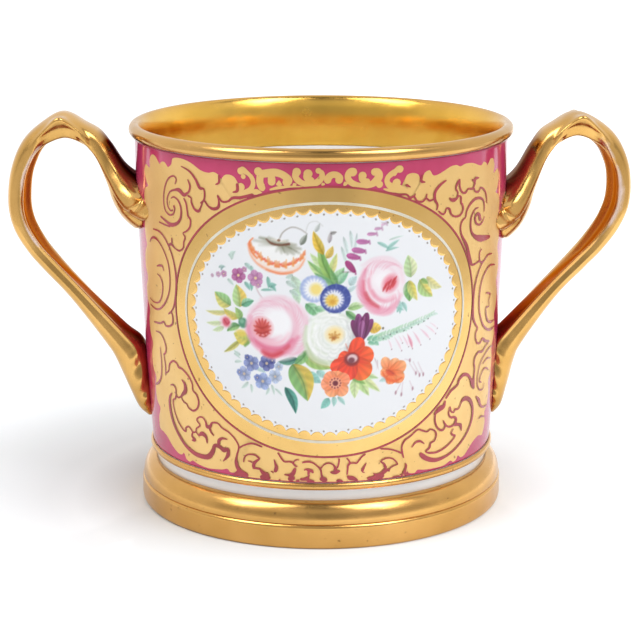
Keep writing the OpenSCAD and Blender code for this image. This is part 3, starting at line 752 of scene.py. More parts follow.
def paint_leaves(p):
    """Leaves of the middle spike, then of the left, right and lower sides."""
    lime, moss = (188, 212, 152), (112, 164, 98)
    for base, tip, width, left, right, bend, rib in [
            ((2.6, 85), (-4.2, 90.8), 2.8, lime, (146, 190, 122), .5, moss),
            ((1, 88.6), (-3.4, 93.0), 2.2, (200, 220, 168), lime, .3, None),
            ((3.2, 85), (6.8, 88.6), 2.8, (170, 208, 166), (130, 184, 136), -.4, None),
            ((5, 83.4), (8.2, 87.4), 2.4, (176, 212, 184), (134, 188, 152), .3, None),
            ((2.4, 86), (4.6, 93), 2.4, (196, 212, 140), (214, 210, 140), 0, None),
            ((1.4, 91.4), (3.4, 95.2), 2.3, (228, 200, 108), (206, 176, 92), -.2, None),
            ((3.6, 83.6), (-.8, 96.4), 3.0, (160, 194, 116), (120, 168, 92), .8, (92, 136, 74)),
            ((.6, 92.6), (-2.4, 99.8), 3.0, (230, 192, 78), (206, 180, 80), .3, (176, 146, 56)),
            ((4.4, 82.8), (-2.2, 87), 2.4, (150, 192, 142), (116, 168, 120), .3, None),
            ((4.8, 83), (2.6, 88.6), 2.0, (140, 182, 126), (112, 162, 108), .2, None),
            ((-28.5, 75.4), (-34.2, 79.0), 4.8, (206, 200, 112), (150, 194, 130), .4, (110, 160, 96)),
            ((-25.4, 75.2), (-26.4, 82.2), 5.0, (178, 208, 146), (222, 194, 96), -.4, (130, 174, 104)),
            ((-24.8, 75.8), (-20.6, 77.6), 2.8, (150, 200, 172), (104, 168, 136), .3, (80, 140, 104)),
            ((-29.4, 73.2), (-38, 72.6), 1.8, (216, 206, 138), (200, 200, 132), .5, None),
            ((-31.4, 69.6), (-38, 68.8), 1.7, (212, 220, 182), (198, 212, 162), .3, None),
            ((-31, 68.4), (-35.6, 66.6), 1.8, (206, 220, 180), (194, 212, 168), .2, None),
            ((-25.8, 71.8), (-31.2, 74.2), 2.8, (216, 194, 96), (192, 188, 100), .7, None),
            ((-25.4, 71), (-27.0, 75), 2.6, (164, 192, 116), (134, 172, 104), -.5, None),
            ((-25.6, 69.4), (-30.2, 67), 2.6, (146, 188, 118), (104, 156, 100), -.5, (86, 132, 80)),
            ((-25.4, 64.8), (-31.6, 60.2), 1.9, (206, 198, 116), (178, 176, 96), .3, (150, 148, 76)),
            ((27.8, 84.2), (26.6, 91.2), 4.8, (184, 210, 160), (212, 220, 176), -.3, (150, 184, 126)),
            ((27.0, 83.0), (27.6, 76.6), 4.6, (152, 190, 120), (120, 170, 106), .2, (84, 126, 78)),
            ((27.2, 83.2), (30.4, 76.6), 3.0, (224, 208, 116), (206, 208, 136), -.3, None),
            ((30.9, 83.0), (36.0, 77.2), 4.4, (222, 206, 112), (170, 200, 132), -.6, (140, 172, 104)),
            ((33.4, 83.6), (39.6, 79.6), 3.0, (220, 212, 146), (212, 212, 162), -.8, None),
            ((31.4, 83.2), (34.2, 81.4), 1.8, (140, 180, 112), (160, 190, 124), 0, None),
            ((-7.2, 60.2), (-13.6, 58.8), 2.6, (86, 144, 126), (54, 108, 96), .3, (40, 90, 80)),
            ((-5.6, 62.6), (3.2, 57.2), 4.4, (206, 196, 96), (150, 184, 104), -1.0, (118, 146, 76)),
            ((-4, 63), (-8.6, 57.8), 3.2, (140, 186, 122), (110, 164, 106), .4, (86, 136, 84)),
            ((-8.8, 58.4), (-4.2, 46.8), 7.4, (208, 182, 80), (126, 174, 104), .9, (88, 136, 80)),
            ((-11.2, 51), (-8, 42.6), 3.2, (84, 158, 142), (48, 118, 106), .8, (38, 96, 88)),
            ((10.4, 55), (18.6, 49), 2.8, (212, 218, 162), (190, 212, 148), .3, (164, 192, 128)),
            ((10, 55), (15.0, 48), 3.4, (204, 220, 162), (180, 208, 142), .2, (146, 184, 116)),
            ((10.6, 54), (10.4, 47.4), 3.2, (212, 224, 176), (194, 216, 156), -.2, (170, 196, 140)),
            ((11, 55.2), (18, 53.4), 2.2, (200, 218, 170), (178, 210, 152), .2, (154, 190, 130)),
            ((9.4, 54), (13.8, 51.8), 1.8, (150, 190, 112), (130, 176, 104), .2, None),
            ((-4.6, 77.4), (-1, 73.2), 3.6, (160, 206, 166), (120, 180, 130), .4, (92, 152, 102)),
            ((-2, 76.4), (1.6, 74.4), 2.2, (170, 210, 174), (130, 186, 140), .2, None),
            ((8, 75.8), (13.4, 76.6), 2.6, (190, 214, 164), (160, 198, 132), .4, (130, 172, 106)),
            ((7.4, 75), (11.4, 72.2), 2.4, (130, 178, 118), (92, 150, 98), -.3, (76, 126, 76))]:
        p.leaf(base, tip, width, left, right, bend, rib)


def paint_buds(p):
    """Rosebud, green ball and yellow bud at the left."""
    p.blot(-30.4, 70, 2.1, 2.0, (240, 202, 210), 0.9, 0.5)
    p.blot(-30.3, 70, 1.3, 1.4, (212, 96, 114), 0.9, 0.6)
    p.stroke([(-31, 70.6, .4), (-30, 69.4, .4), (-29.2, 70, .3)], (182, 58, 78), 0.7)
    p.blot(-24.4, 70.3, 1.6, 1.6, (92, 150, 122), 0.95, 0.4)
    p.blot(-24.8, 70.8, .7, .7, (156, 198, 172), 0.7, 0.8)
    p.leaf((-22.2, 64.8), (-27.8, 66.8), 4.4, (214, 198, 96), (178, 194, 100), .3, None)
    p.blot(-25.2, 67.0, 1.9, 1.2, (232, 206, 106), 0.8, 0.7)
    p.stroke([(-22.4, 66.6, .7), (-22.4, 64.8, 1.0), (-24, 63.2, .8)], (128, 166, 96), 0.85)


def paint_small_flowers(p):
    """Small pink flowers and forget-me-nots."""
    for s, z, r, colour in [
            (-25.6, 85, 2.5, (190, 110, 164)), (-20, 84.6, 2.6, (206, 146, 190)),
            (-30.6, 85, 1.2, (206, 152, 190)), (-32.6, 84.6, 1.0, (214, 172, 202)),
            (-34.8, 84, .7, (208, 174, 200)), (-23.6, 87, 1.0, (206, 150, 190)),
            (-19.2, 82.6, 1.1, (210, 160, 196))]:
        p.blossom(s, z, r, 5, toned(colour, 0.88), colour, (238, 218, 170), 20 * s)
    for s, z, r, colour in [
            (-24.6, 54.2, 2.5, (176, 188, 228)), (-14.4, 54.2, 2.3, (194, 208, 236)),
            (-22, 57.8, 2.7, (144, 156, 210)), (-18.4, 52.4, 2.8, (164, 182, 230)),
            (-17, 58.2, 2.6, (110, 118, 182)), (-13.2, 57.4, 1.5, (198, 212, 236)),
            (-23.4, 59.6, 1.0, (110, 122, 184)), (-15.2, 59.2, 1.2, (92, 96, 160)),
            (-26.2, 54.6, 1.1, (160, 172, 220)), (-20.2, 53.4, 1.2, (140, 154, 214))]:
        p.blossom(s, z, r, 5, toned(colour, 0.8), colour, (214, 196, 170), 31 * s)


def paint_picotee(p):
    """Picotee flower: a white cup seen from below its calyx, with two orange fringes."""
    p.blot(-13.2, 92.2, 8.4, 5.0, (245, 244, 243), 0.95, 0.15, -7)
    for s, z, width, cover in [
            (-20.2, 96.2, 1.3, .5), (-18.2, 97.2, 1.6, .55), (-15.6, 97.4, 1.4, .5), (-18.6, 94.8, 1.0, .3),
            (-10, 96.6, 1.2, .6), (-7.6, 95.4, 1.4, .7), (-6.2, 94.2, 1.4, .7), (-6.6, 93, 1.4, .6),
            (-8.2, 92.6, 1.4, .6), (-10, 92.6, 1.4, .6), (-11.8, 92.8, 1.3, .5), (-13.4, 93.2, 1.0, .4)]:
        p.stroke([(-12.4, 95.4, .8), (.5 * s - 6.2, .5 * z + 47.7, width), (s, z, .5 * width)],
                 (172, 173, 158), cover, 0.4)
    for s, z, ds, dz in [
            (-10.5, 95, 1.6, -.8), (-9.5, 94.6, 2.2, -1.2), (-11.5, 94.6, .6, -1.6), (-16, 96.8, -2.6, .3)]:
        p.stroke([(s, z, .5), (s + ds, z + dz, .3)], (132, 134, 112), 0.5, 0.3)
    for k in np.linspace(0, 1, 40):
        s = -21.6 + 16.8 * k
        z = 94.8 - 2.0 * k - 4.8 * math.sin(math.pi * k) ** 0.7
        jag = 0.7 * math.sin(41 * k) + 0.5 * math.sin(97 * k)
        p.stroke([(s, z + .9 + .7 * jag, .2), (s + .2 - .4 * k, z - .2 - .5 * jag, .7)],
                 (236, 124 + 26 * jag, 76), 0.75)
        p.stroke([(s + .2, z - 1.0, .2), (s + .4 - .6 * k, z - 2.4 - .5 * jag, .3)], (247, 200, 176), 0.5)
    p.stroke([(-22.2, 95, .4), (-21.4, 91.6, .5), (-18.2, 88.4, .8), (-12.4, 86.6, .9), (-7.2, 87.8, .7),
              (-5, 91, .4)], (245, 176, 142), 0.8)
    p.stroke([(-16.6, 87.4, .3), (-12.2, 86.4, .5), (-8.6, 86.9, .3)], (238, 140, 98), 0.7)
    p.stroke([(-20.6, 96.8, .4), (-21.8, 95.2, .6), (-21.0, 92.6, .7), (-19.4, 90.8, .5)],
             (238, 134, 84), 0.85)
    p.stroke([(-16.4, 96.8, .3), (-14.8, 95.6, .8), (-12.2, 95.2, .6), (-9.6, 95.6, .8)],
             (124, 82, 66), 0.85)
    p.stroke([(-14.8, 96.8, .3), (-12.4, 96.4, .5), (-10.6, 96.4, .3)], (232, 222, 210), 0.8)
    p.blot(-12.6, 96.6, .5, .4, (140, 104, 84), 0.8, 0.6)


def paint_foxglove(p):
    """Foxglove: a stem of bells that fade towards the tip."""
    for s, z, length, width, angle, colour in [
            (10, 86.9, 4.6, 2.1, 128, (176, 70, 132)), (11.4, 91.2, 4.2, 2.0, 165, (198, 102, 164)),
            (13, 93.2, 4.2, 1.9, 170, (202, 118, 176)), (14.2, 96.0, 4.0, 1.7, 175, (204, 126, 182)),
            (16.4, 98.4, 3.0, 1.2, 180, (214, 152, 196)), (18, 100, 2.4, 1.0, 185, (218, 168, 204)),
            (19.4, 101.4, 1.8, .8, 195, (224, 186, 214))]:
        p.petal((s, z), angle, length, width, toned(colour, 0.9), colour, 0.88)
        p.stroke([(s, z + .4, .5), (s + .2, z - .5, .5)], toned(colour, 0.86), 0.7)
        throat = [(s - .3 * length, z + .2, .2), (s - .8 * length, z + .3, .3)]
        p.stroke(throat, toned(colour, 0.75), 0.4)


def paint_right_spray(p):
    """Green spray with pale bells at the right, and drooping stamens under it."""
    for k in np.linspace(0, 1, 24):
        s, z, fade = 14.6 + 22 * k, 65.2 + 6.6 * k, 0.85 - 0.45 * k
        wave = math.sin(23 * k)
        p.leaf((s, z), (s + 1.2 + .6 * wave, z + 2.0 - 1.0 * k), 1.3 - .5 * k, (170, 208, 176),
               (186, 216, 188), .1, None, fade)
        p.leaf((s, z), (s + 2.0, z - 1.0 + .6 * k + .3 * wave), 1.3 - .5 * k, (150, 200, 176),
               (180, 214, 190), .1, None, fade)
    for s, z, ds, dz in [
            (14, 65.6, 2, 1.6), (14.2, 65, 2.6, -.8), (15.6, 65.4, 1.8, 1.4), (16.4, 65, 1.4, -1.2)]:
        p.leaf((s, z), (s + ds, z + dz), 1.4, (128, 186, 158), (150, 200, 172), 0, None, 0.8)
    for s, z in [
            (19.2, 65.8), (21.4, 66.9), (23.6, 67.4), (26, 67.7), (28.6, 68.3), (31, 69.0), (33, 69.8),
            (34.6, 70.4)]:
        p.blot(s, z, .3, .26, (128, 140, 134), 0.75, 0.6)
    for s, z, ds, dz, width, colour in [
            (20.6, 65.6, 1.4, -3.4, .8, (238, 218, 226)), (22.6, 66.2, 2.8, -4.8, .9, (238, 218, 226)),
            (25.4, 66.4, 2.4, -4, 1.0, (240, 216, 226)), (27, 66.8, 2.2, -5.2, 1.2, (228, 156, 176)),
            (29, 67.2, 3.2, -4.8, .9, (236, 196, 210)), (31.4, 67.8, 4.2, -4.0, .9, (236, 202, 216)),
            (33.4, 68.6, 4.4, -3.4, .8, (240, 214, 224)), (35, 69.2, 3.4, -2.4, .7, (240, 222, 230)),
            (24, 66.4, 1.6, -2.6, .7, (240, 220, 228))]:
        p.leaf((s, z), (s + ds, z + dz), width, colour, toned(colour, 0.97), 0.2, None, 0.85, 1.3)
        p.blot(s + ds, z + dz, .25, .25, (176, 146, 158), 0.65, 0.8)
    for s, z, ds, dz in [
            (25.8, 51.6, -2, -3.4), (26.2, 51.4, -.4, -4), (28.6, 51.4, 1.2, -2.6), (28.4, 57, 2.4, -3.4),
            (29.6, 57.4, 2.6, -4.6), (31.4, 57, 2.2, -4.2), (26.6, 58.6, 1.8, -.6)]:
        p.stroke([(s, z, .12), (s + .6 * ds, z + .6 * dz, .2), (s + ds, z + dz, .5)], (206, 180, 190), 0.7)
        p.blot(s + ds, z + dz, .35, .65, (166, 120, 134), 0.6, 0.7)


def paint_left_rose(p):
    """Left pink rose."""
    p.blot(-13.2, 69.4, 10.0, 10.0, (242, 228, 234), 0.95, 0.18)
    for rows, colour, cover in [
            ([(-18, 78, 1.4), (-11, 78.4, 2.2), (-5.6, 74.2, 2.4), (-4.2, 68, 2.4), (-6.8, 62.4, 2.0)],
             (240, 216, 225), .8),
            ([(-15, 76.8, .6), (-10.4, 76, 1.2), (-7.6, 72.2, 1.8), (-7.6, 67.6, 1.8), (-10.6, 63.8, 1.6)],
             (238, 196, 209), .8),
            ([(-11, 76, .5), (-8.7, 72.2, .8), (-8.6, 68.2, .9), (-10, 65, .8)], (228, 160, 182), .65),
            ([(-22, 72.4, 1.2), (-22.6, 68.4, 2.0), (-20.4, 64.8, 2.8), (-15.8, 62.6, 3.6),
              (-10.6, 63.0, 3.0), (-7.2, 66.8, 1.2)], (233, 154, 178), .85),
            ([(-21.2, 65.4, .8), (-17, 63.0, 1.4), (-12.4, 63.0, 1.4), (-8.8, 66.0, .8)],
             (224, 116, 146), .75),
            ([(-18, 61.8, 1.4), (-15.2, 60.9, 1.8), (-12, 62.2, 1.3), (-10, 64, .8)], (217, 92, 110), .85),
            ([(-17.4, 60.9, .9), (-14.8, 60.6, 1.0), (-12.4, 61.8, .7)], (208, 72, 84), .6),
            ([(-20.8, 67.2, 1.0), (-17, 65.0, 1.5), (-12.6, 65.2, 1.2), (-10, 68, .8)],
             (243, 190, 204), .75),
            ([(-19, 66.4, .5), (-15.4, 65.8, .7), (-12.4, 67.2, .5)], (234, 158, 178), .6),
            ([(-19, 75.4, .9), (-15.4, 76.6, 1.0), (-11.6, 75.6, .8)], (243, 226, 233), .7),
            ([(-22.4, 70.4, .8), (-21.6, 74.2, 1.0), (-18.4, 77, .9)], (240, 208, 219), .7),
            ([(-9.4, 60.8, .6), (-6, 63, .8), (-4.0, 67, .7), (-4.2, 71, .5)], (236, 188, 204), .6),
            ([(-21, 74, .5), (-16.6, 78.6, .4), (-11, 79.2, .4)], (236, 206, 216), .6)]:
        p.stroke(rows, colour, cover, 0.65)
    p.hatch((-13.2, 69.4), np.arange(-80, 200, 7), (6.4, .8, 9.4), (0, .16, .36, .6),
            (228, 166, 188), (0, 14, 10), (7, 5))
    p.blot(-13.2, 71.2, 4.4, 4.4, (246, 245, 247), 0.95, 0.6)
    p.blot(-18.2, 69.4, 3.0, 2.9, (234, 140, 148), 0.9, 0.7)
    for angle, length, tint in [
            (-170, 2.6, 0), (160, 2.8, 10), (130, 3.1, 6), (108, 3.3, 0), (88, 3.4, 8), (68, 3.3, 2),
            (48, 3.2, 10), (25, 3.0, 4), (0, 2.8, 8), (-25, 2.6, 0), (-60, 2.2, 6), (-110, 2.2, 4),
            (-140, 2.4, 8)]:
        d, e = math.cos(math.radians(angle)), math.sin(math.radians(angle))
        middle = (-18.2 + .6 * length * d, 68.7 + .6 * length * e, .8)
        p.stroke([(-18.1 + .3 * d, 68.6 + .3 * e, .5), middle, (-18.2 + length * d, 68.8 + length * e, .3)],
                 (196 + tint, 70 + 2 * tint, 66 + tint), 0.8)
    for rows in [
            [(-20.6, 68.2, .3), (-18.4, 67.6, .6), (-16.2, 68.4, .3)],
            [(-20.0, 69.8, .3), (-18.2, 69.2, .5), (-16.2, 70.2, .3)],
            [(-19.2, 66.8, .3), (-17.6, 66.6, .5), (-16.4, 67.4, .3)]]:
        p.stroke(rows, (170, 48, 46), 0.65)


def paint_right_rose(p):
    """Right pink rose."""
    p.blot(18.2, 82.0, 7.6, 8.6, (243, 231, 237), 0.92, 0.22, -12)
    for rows, colour, cover in [
            ([(12.2, 87, 1.0), (15, 90, 1.6), (20, 90.2, 1.6), (24, 87.4, 1.4), (25.2, 83, 1.2)],
             (242, 222, 230), .75),
            ([(13.2, 87.4, 1.0), (11.8, 83, 1.8), (13.2, 78.6, 2.6), (16.6, 75.2, 2.8), (21, 74.4, 2.2),
              (23.4, 77, 1.2)], (236, 172, 192), .85),
            ([(12.6, 84, .8), (12.8, 80.4, 1.3), (14.6, 77.4, 1.3), (17.4, 75.6, .8)],
             (226, 116, 138), .75),
            ([(13.4, 80.4, .7), (14.6, 78, .9), (17.2, 76, .6)], (206, 84, 92), .7),
            ([(15, 86.8, .8), (14.2, 83.2, 1.3), (15.8, 79.6, 1.6), (19, 77.8, 1.4), (22.4, 79, .9)],
             (241, 196, 210), .75),
            ([(15.4, 81, .4), (17.2, 78.4, .7), (20.2, 77.4, .6), (22.8, 78.2, .4)], (228, 140, 162), .6),
            ([(14.2, 84.6, .4), (14.6, 81.6, .5), (16, 79.2, .4)], (230, 150, 170), .6),
            ([(16.4, 88.4, .6), (20, 88.2, .9), (23, 85.6, .8)], (240, 216, 226), .7),
            ([(19, 73.6, .8), (22.4, 75.4, 1.0), (24.6, 79, .9)], (238, 190, 206), .7),
            ([(12, 89, .4), (16, 91, .4), (21, 90.8, .4), (24.8, 87.6, .4)], (238, 212, 222), .6)]:
        p.stroke(rows, colour, cover, 0.55)
    p.hatch((18.2, 82), np.arange(75, 350, 8), (5.2, .6, 7.6), (0, -.18, -.4, -.66),
            (226, 156, 178), (0, 16, 12), (5, 7), 1.1)
    p.blot(18.4, 84.2, 3.0, 2.6, (247, 243, 246), 0.85, 0.8)
    p.blot(21, 82.9, 2.3, 2.7, (234, 140, 158), 0.9, 0.7, -30)
    for x, y, tint in [
            (-1.8, -1.2, 0), (-1.2, -.2, 10), (-.7, -1.4, 4), (-.2, .4, 0), (.4, -.8, 12), (.9, .6, 4),
            (1.3, -.2, 10), (1.5, 1.2, 6)]:
        p.stroke([(20.5 + x, 81.9 + y, .3), (20.9 + x, 82.8 + y, .75), (21.5 + x, 83.6 + y, .3)],
                 (198 + tint, 70 + tint, 76 + tint), 0.8)


def paint_white_rose(p):
    """White rose: broad petals, then rows of small ones round a yellow heart."""
    p.blot(2.6, 66.8, 7.9, 8.3, (238, 240, 237), 0.98, 0.1)
    for rows, colour, cover in [
            ([(-4.6, 70.4, .9), (-4.9, 65.6, 1.6), (-2.8, 61, 2.2), (1.4, 58.9, 2.0), (5.6, 59.6, 1.4)],
             (212, 220, 196), .75),
            ([(-4.4, 65, .6), (-2.4, 60.6, .9), (1.6, 58.7, .8)], (190, 204, 168), .6),
            ([(-3.6, 72.2, .9), (.4, 74.6, 1.2), (5, 74.6, 1.0), (8.6, 72.2, .8)], (222, 227, 218), .7),
            ([(9.4, 70.6, .8), (10, 66.4, 1.2), (8.8, 62.4, 1.6), (5.8, 60.2, 1.2)], (184, 182, 186), .65),
            ([(7.4, 72, .6), (8.7, 68, .9), (7.9, 64.4, 1.1), (5.6, 62.2, .8)], (204, 204, 206), .65),
            ([(-2.2, 71.4, .5), (-3, 67.6, .8), (-1.4, 63.6, .9), (1.6, 61.6, .8)], (216, 223, 207), .7),
            ([(-.8, 72.8, .5), (2.6, 73.4, .6), (6, 71.9, .5)], (210, 215, 208), .6),
            ([(-.4, 69.8, .5), (-.6, 66.6, .7), (1, 64, .7), (4, 63, .6)], (222, 225, 215), .7),
            ([(6.6, 69.8, .4), (7, 66.8, .6), (5.8, 64.6, .6)], (212, 211, 209), .6),
            ([(9.8, 68.4, .3), (9.4, 64.4, .5), (7.4, 61.4, .4)], (136, 132, 138), .6),
            ([(8.6, 65, .3), (7.4, 62.6, .4), (5.8, 61.4, .3)], (150, 148, 152), .5),
            ([(1.4, 71.4, .4), (4.6, 71.2, .5), (6.4, 69.4, .4)], (218, 220, 212), .6),
            ([(.2, 68.8, .3), (.6, 65.8, .5), (3, 64, .4)], (206, 212, 198), .5)]:
        p.stroke(rows, colour, cover, 0.4)
    for rows in [
            [(-3.8, 68, .5), (-3.6, 64.6, .7), (-1.4, 61.6, .6)],
            [(-1.6, 70.8, .4), (-1.8, 67, .6), (0, 63.6, .5)],
            [(2, 74, .4), (5.6, 73.2, .5), (7.6, 71, .4)],
            [(7.8, 66.8, .4), (6.8, 63.6, .5), (4.6, 61.8, .4)],
            [(-2.6, 73, .4), (1.4, 75, .4), (5.6, 74.8, .3)]]:
        p.stroke(rows, (250, 250, 249), 0.7, 0.3)
    for r, n, turn in [(7.3, 13, 0), (6.0, 11, 12), (4.8, 9, 5), (3.7, 8, 20)]:
        for a in turn + np.arange(n) * 360 / n:
            wave = math.sin(0.31 * a * r)
            b = np.radians(a + (np.array([-0.5, -0.3, 0, 0.3, 0.62]) + 0.18 * wave) * 360 / n)
            swell = r * (np.array([0.84, 0.97, 1.02, 0.99, 0.88]) + 0.04 * wave)
            tone = 46 * math.cos(math.radians(a + 35)) * (r / 7.3) ** 2
            s, z = 3.0 + 1.02 * swell * np.cos(b), 67.0 + 1.06 * swell * np.sin(b)
            rows = np.column_stack([s, z, [.05, .3, .36, .24, .05]])
            p.stroke(rows, (200 - tone, 206 - tone, 198 - .8 * tone), 0.4 + 0.12 * wave, 0.35)
            rows[:, :2] += (np.array([3.0, 67.0]) - rows[:, :2]) * 0.09
            rows[:, 2] *= 1.7
            p.stroke(rows, (249, 249, 247), 0.5, 0.5)
    p.blot(4, 67.8, 2.6, 2.4, (245, 220, 156), 0.9, 0.7)
    for x, y in [
            (-1, -.4), (-.5, .5), (0, -.9), (.4, .3), (.9, -.4), (.2, 1.0), (-.5, -1.1), (1.2, .4),
            (-1.1, .4)]:
        p.stroke([(3.8 + .5 * x, 67.2 + .4 * y, .3), (3.9 + 1.3 * x, 67.4 + 1.2 * y, .55)],
                 (200, 140, 64), 0.75)
    p.blot(3.8, 66.8, .8, .5, (160, 92, 44), 0.6, 0.9)


def paint_convolvulus(p):
    """Two convolvulus flowers."""
    full = np.arange(0, 360, 20)
    p.blot(-2.2, 82, 4.2, 4.1, (176, 190, 226), 0.9, 0.14)
    p.blot(-2.0, 82, 3.3, 3.3, (245, 245, 247), 0.92, 0.3)
    p.rays(-2.1, 82, 2.6, 3.9, full, .6, (168, 183, 224), 0.6)
    p.blot(-1.6, 81.9, 1.8, 1.8, (244, 222, 136), 0.92, 0.7)
    p.blot(4.2, 79, 4.6, 4.5, (78, 92, 162), 0.97, 0.08, 20)
    p.blot(3.6, 78.7, 3.2, 3.1, (240, 241, 246), 0.95, 0.25)
    p.rays(3.9, 78.9, 2.3, 3.7, full, .7, (92, 106, 172), 0.75)
    p.rays(4.2, 79, 3.4, 4.6, full[::2] + 7, .5, (120, 136, 196), 0.6)
    p.blot(3.1, 78.4, 1.9, 1.8, (240, 208, 108), 0.95, 0.5)
    p.blot(3.3, 78.0, .9, .8, (212, 156, 62), 0.7, 0.9)
    p.rays(3.1, 78.4, .8, 1.8, full[::2], .3, (222, 176, 84), 0.6)


def paint_tulip(p):
    """Tulip and yellow bud."""
    p.leaf((14, 69.6), (18.6, 69.2), 3.6, (232, 200, 104), (210, 172, 76), 0, None, 0.95, 0.9)
    p.blot(19, 69.1, .35, .4, (96, 88, 66), 0.75, 0.6)
    for angle, length, width, colour in [
            (112, 7.2, 2.6, (124, 44, 104)), (62, 7.6, 2.6, (140, 66, 126)), (96, 8.6, 2.8, (146, 74, 134)),
            (78, 9.0, 2.8, (126, 46, 106)), (86, 6.4, 2.4, (178, 112, 166))]:
        p.petal((12, 65.6), angle, length, width, toned(colour, 0.82), colour, 0.95)
    for x, colour in [
            (-1.5, (104, 32, 86)), (-.3, (104, 32, 86)), (1.0, (110, 38, 92)), (.4, (196, 140, 186))]:
        p.stroke([(12 + .5 * x, 66.8, .4), (12.2 + 1.1 * x, 70, .5), (12.7 + x, 73, .3)], colour, 0.6)


def paint_anemones(p):
    """Orange anemones."""
    for angle, length, width, green in [
            (70, 7.4, 4.8, 96), (164, 4.4, 4.4, 100), (204, 7.2, 4.8, 92), (16, 7.0, 6.0, 112),
            (-48, 7.8, 7.0, 124), (-112, 6.8, 6.4, 86)]:
        p.petal((9.4, 59.8), angle, length, width, (228, 80, 44), (248, green, 62), 0.97, 0.07)
    for a in (44, -16, -80, 178, 112, -145):
        d, e = math.cos(math.radians(a)), math.sin(math.radians(a))
        p.stroke([(9.4 + 2.4 * d, 59.8 + 2.4 * e, .5), (9.4 + 5.4 * d, 59.8 + 5.4 * e, .15)],
                 (212, 66, 40), 0.5)
    p.blot(9.3, 59.9, 2.3, 2.1, (136, 52, 58), 0.9, 0.35)
    p.blot(9.5, 60.2, 1.6, 1.3, (236, 214, 216), 0.9, 0.4)
    p.blot(9.2, 59.6, 1.0, .9, (124, 62, 76), 0.9, 0.6)
    for angle, length in [(84, 3.9), (24, 4.6), (-50, 5.0), (-118, 4.8), (-172, 4.6), (136, 4.4)]:
        outer = (250, 172 + 6 * math.sin(angle), 130)
        p.petal((4.4, 52.6), angle, length, 4.4, (240, 138, 94), outer, 0.95, 0.05)
    p.blot(4.3, 52.5, 1.9, 1.8, (244, 190, 166), 0.8, 0.5)
    for a in np.radians(np.arange(0, 360, 33)):
        p.blot(4.3 + 1.6 * math.cos(a), 52.5 + 1.5 * math.sin(a), .3, .3, (148, 66, 72), 0.75, 0.7)
    p.blot(4.3, 52.5, .85, .85, (120, 44, 62), 0.95, 0.5)


def paint_cup_flower(p):
    """Orange cup flower."""
    for angle, length, width, colour in [
            (114, 5.6, 3.4, (250, 184, 136)), (60, 5.0, 4.0, (251, 190, 144)),
            (24, 6.0, 4.4, (250, 178, 128)), (-28, 5.6, 4.2, (249, 164, 112)),
            (-74, 3.8, 4.0, (248, 158, 106)), (168, 3.2, 3.2, (250, 176, 126))]:
        p.petal((21.6, 54.8), angle, length, width, (240, 126, 78), colour, 0.95, 0.05)
    p.stroke([(19.2, 55.2, .5), (20.4, 53.2, .8), (23.2, 52.0, 1.0), (25.8, 52.8, .5)], (236, 112, 66), 0.8)
    p.blot(21.8, 54.8, 1.6, .8, (220, 92, 62), 0.8, 0.6, -25)
    p.stroke([(20.4, 55.8, .2), (21.6, 55.4, .3), (22.8, 54.4, .2)], (170, 76, 60), 0.65)


def paint_bouquet(p):
    """The spray on the front panel, painted from the pale leaves at the back to the flowers in front."""
    for paint in (
            paint_pale_leaves, paint_leaves, paint_buds, paint_small_flowers, paint_picotee, paint_foxglove,
            paint_right_spray, paint_left_rose, paint_right_rose, paint_white_rose, paint_convolvulus,
            paint_tulip, paint_anemones, paint_cup_flower):
        paint(p)


painted, tree, shader, place = finish_of("painted", (0.8, 0.8, 0.8), 0.12)
tree.links.new(paint_on(tree)["Color"], shader.inputs["Base Color"])
roughened(tree, shader, noise(tree, place, 300), GLAZE_DEPTH, GLAZE_STRENGTH)

for side, where, shape in ((1, "front", (300, 320)), (-1, "back", (220, 240))):
    for half, low in (("left", -1), ("right", 0)):
        v, u = np.meshgrid(np.linspace(-0.9995, 0.9995, shape[1]), np.linspace(low, low + 1, shape[0]))
        sz = np.stack([PANEL[0] * u * np.sqrt(1 - v ** 2), OVAL_Z + PANEL[1] * v], -1)
        panel = Painting(side * (sz[..., 0] + PANEL_TURN * side), sz[..., 1], WHITE)
        paint_bouquet(panel)
        for s, z in oval(LOBE_IN - DOT_IN, even_angles(LOBE_IN, LOBES)[:-1]):
            panel.blot(s + PANEL_TURN, z, DOT_R, DOT_R, DOT_COLOUR, 0.65, 0.7)
        value = np.clip(WHITE - DEPTH_OF_COLOUR * (WHITE - panel.colour), 0, 255) / 255
        linear = np.where(value > 0.04, ((value + 0.055) / 1.055) ** 2.4, value / 12.92)
        piece(where + "_flowers_" + half, *sheet(sz, PANEL_LIFT, side), painted, where + "_panel_frame",
              "flower_enamel", linear)

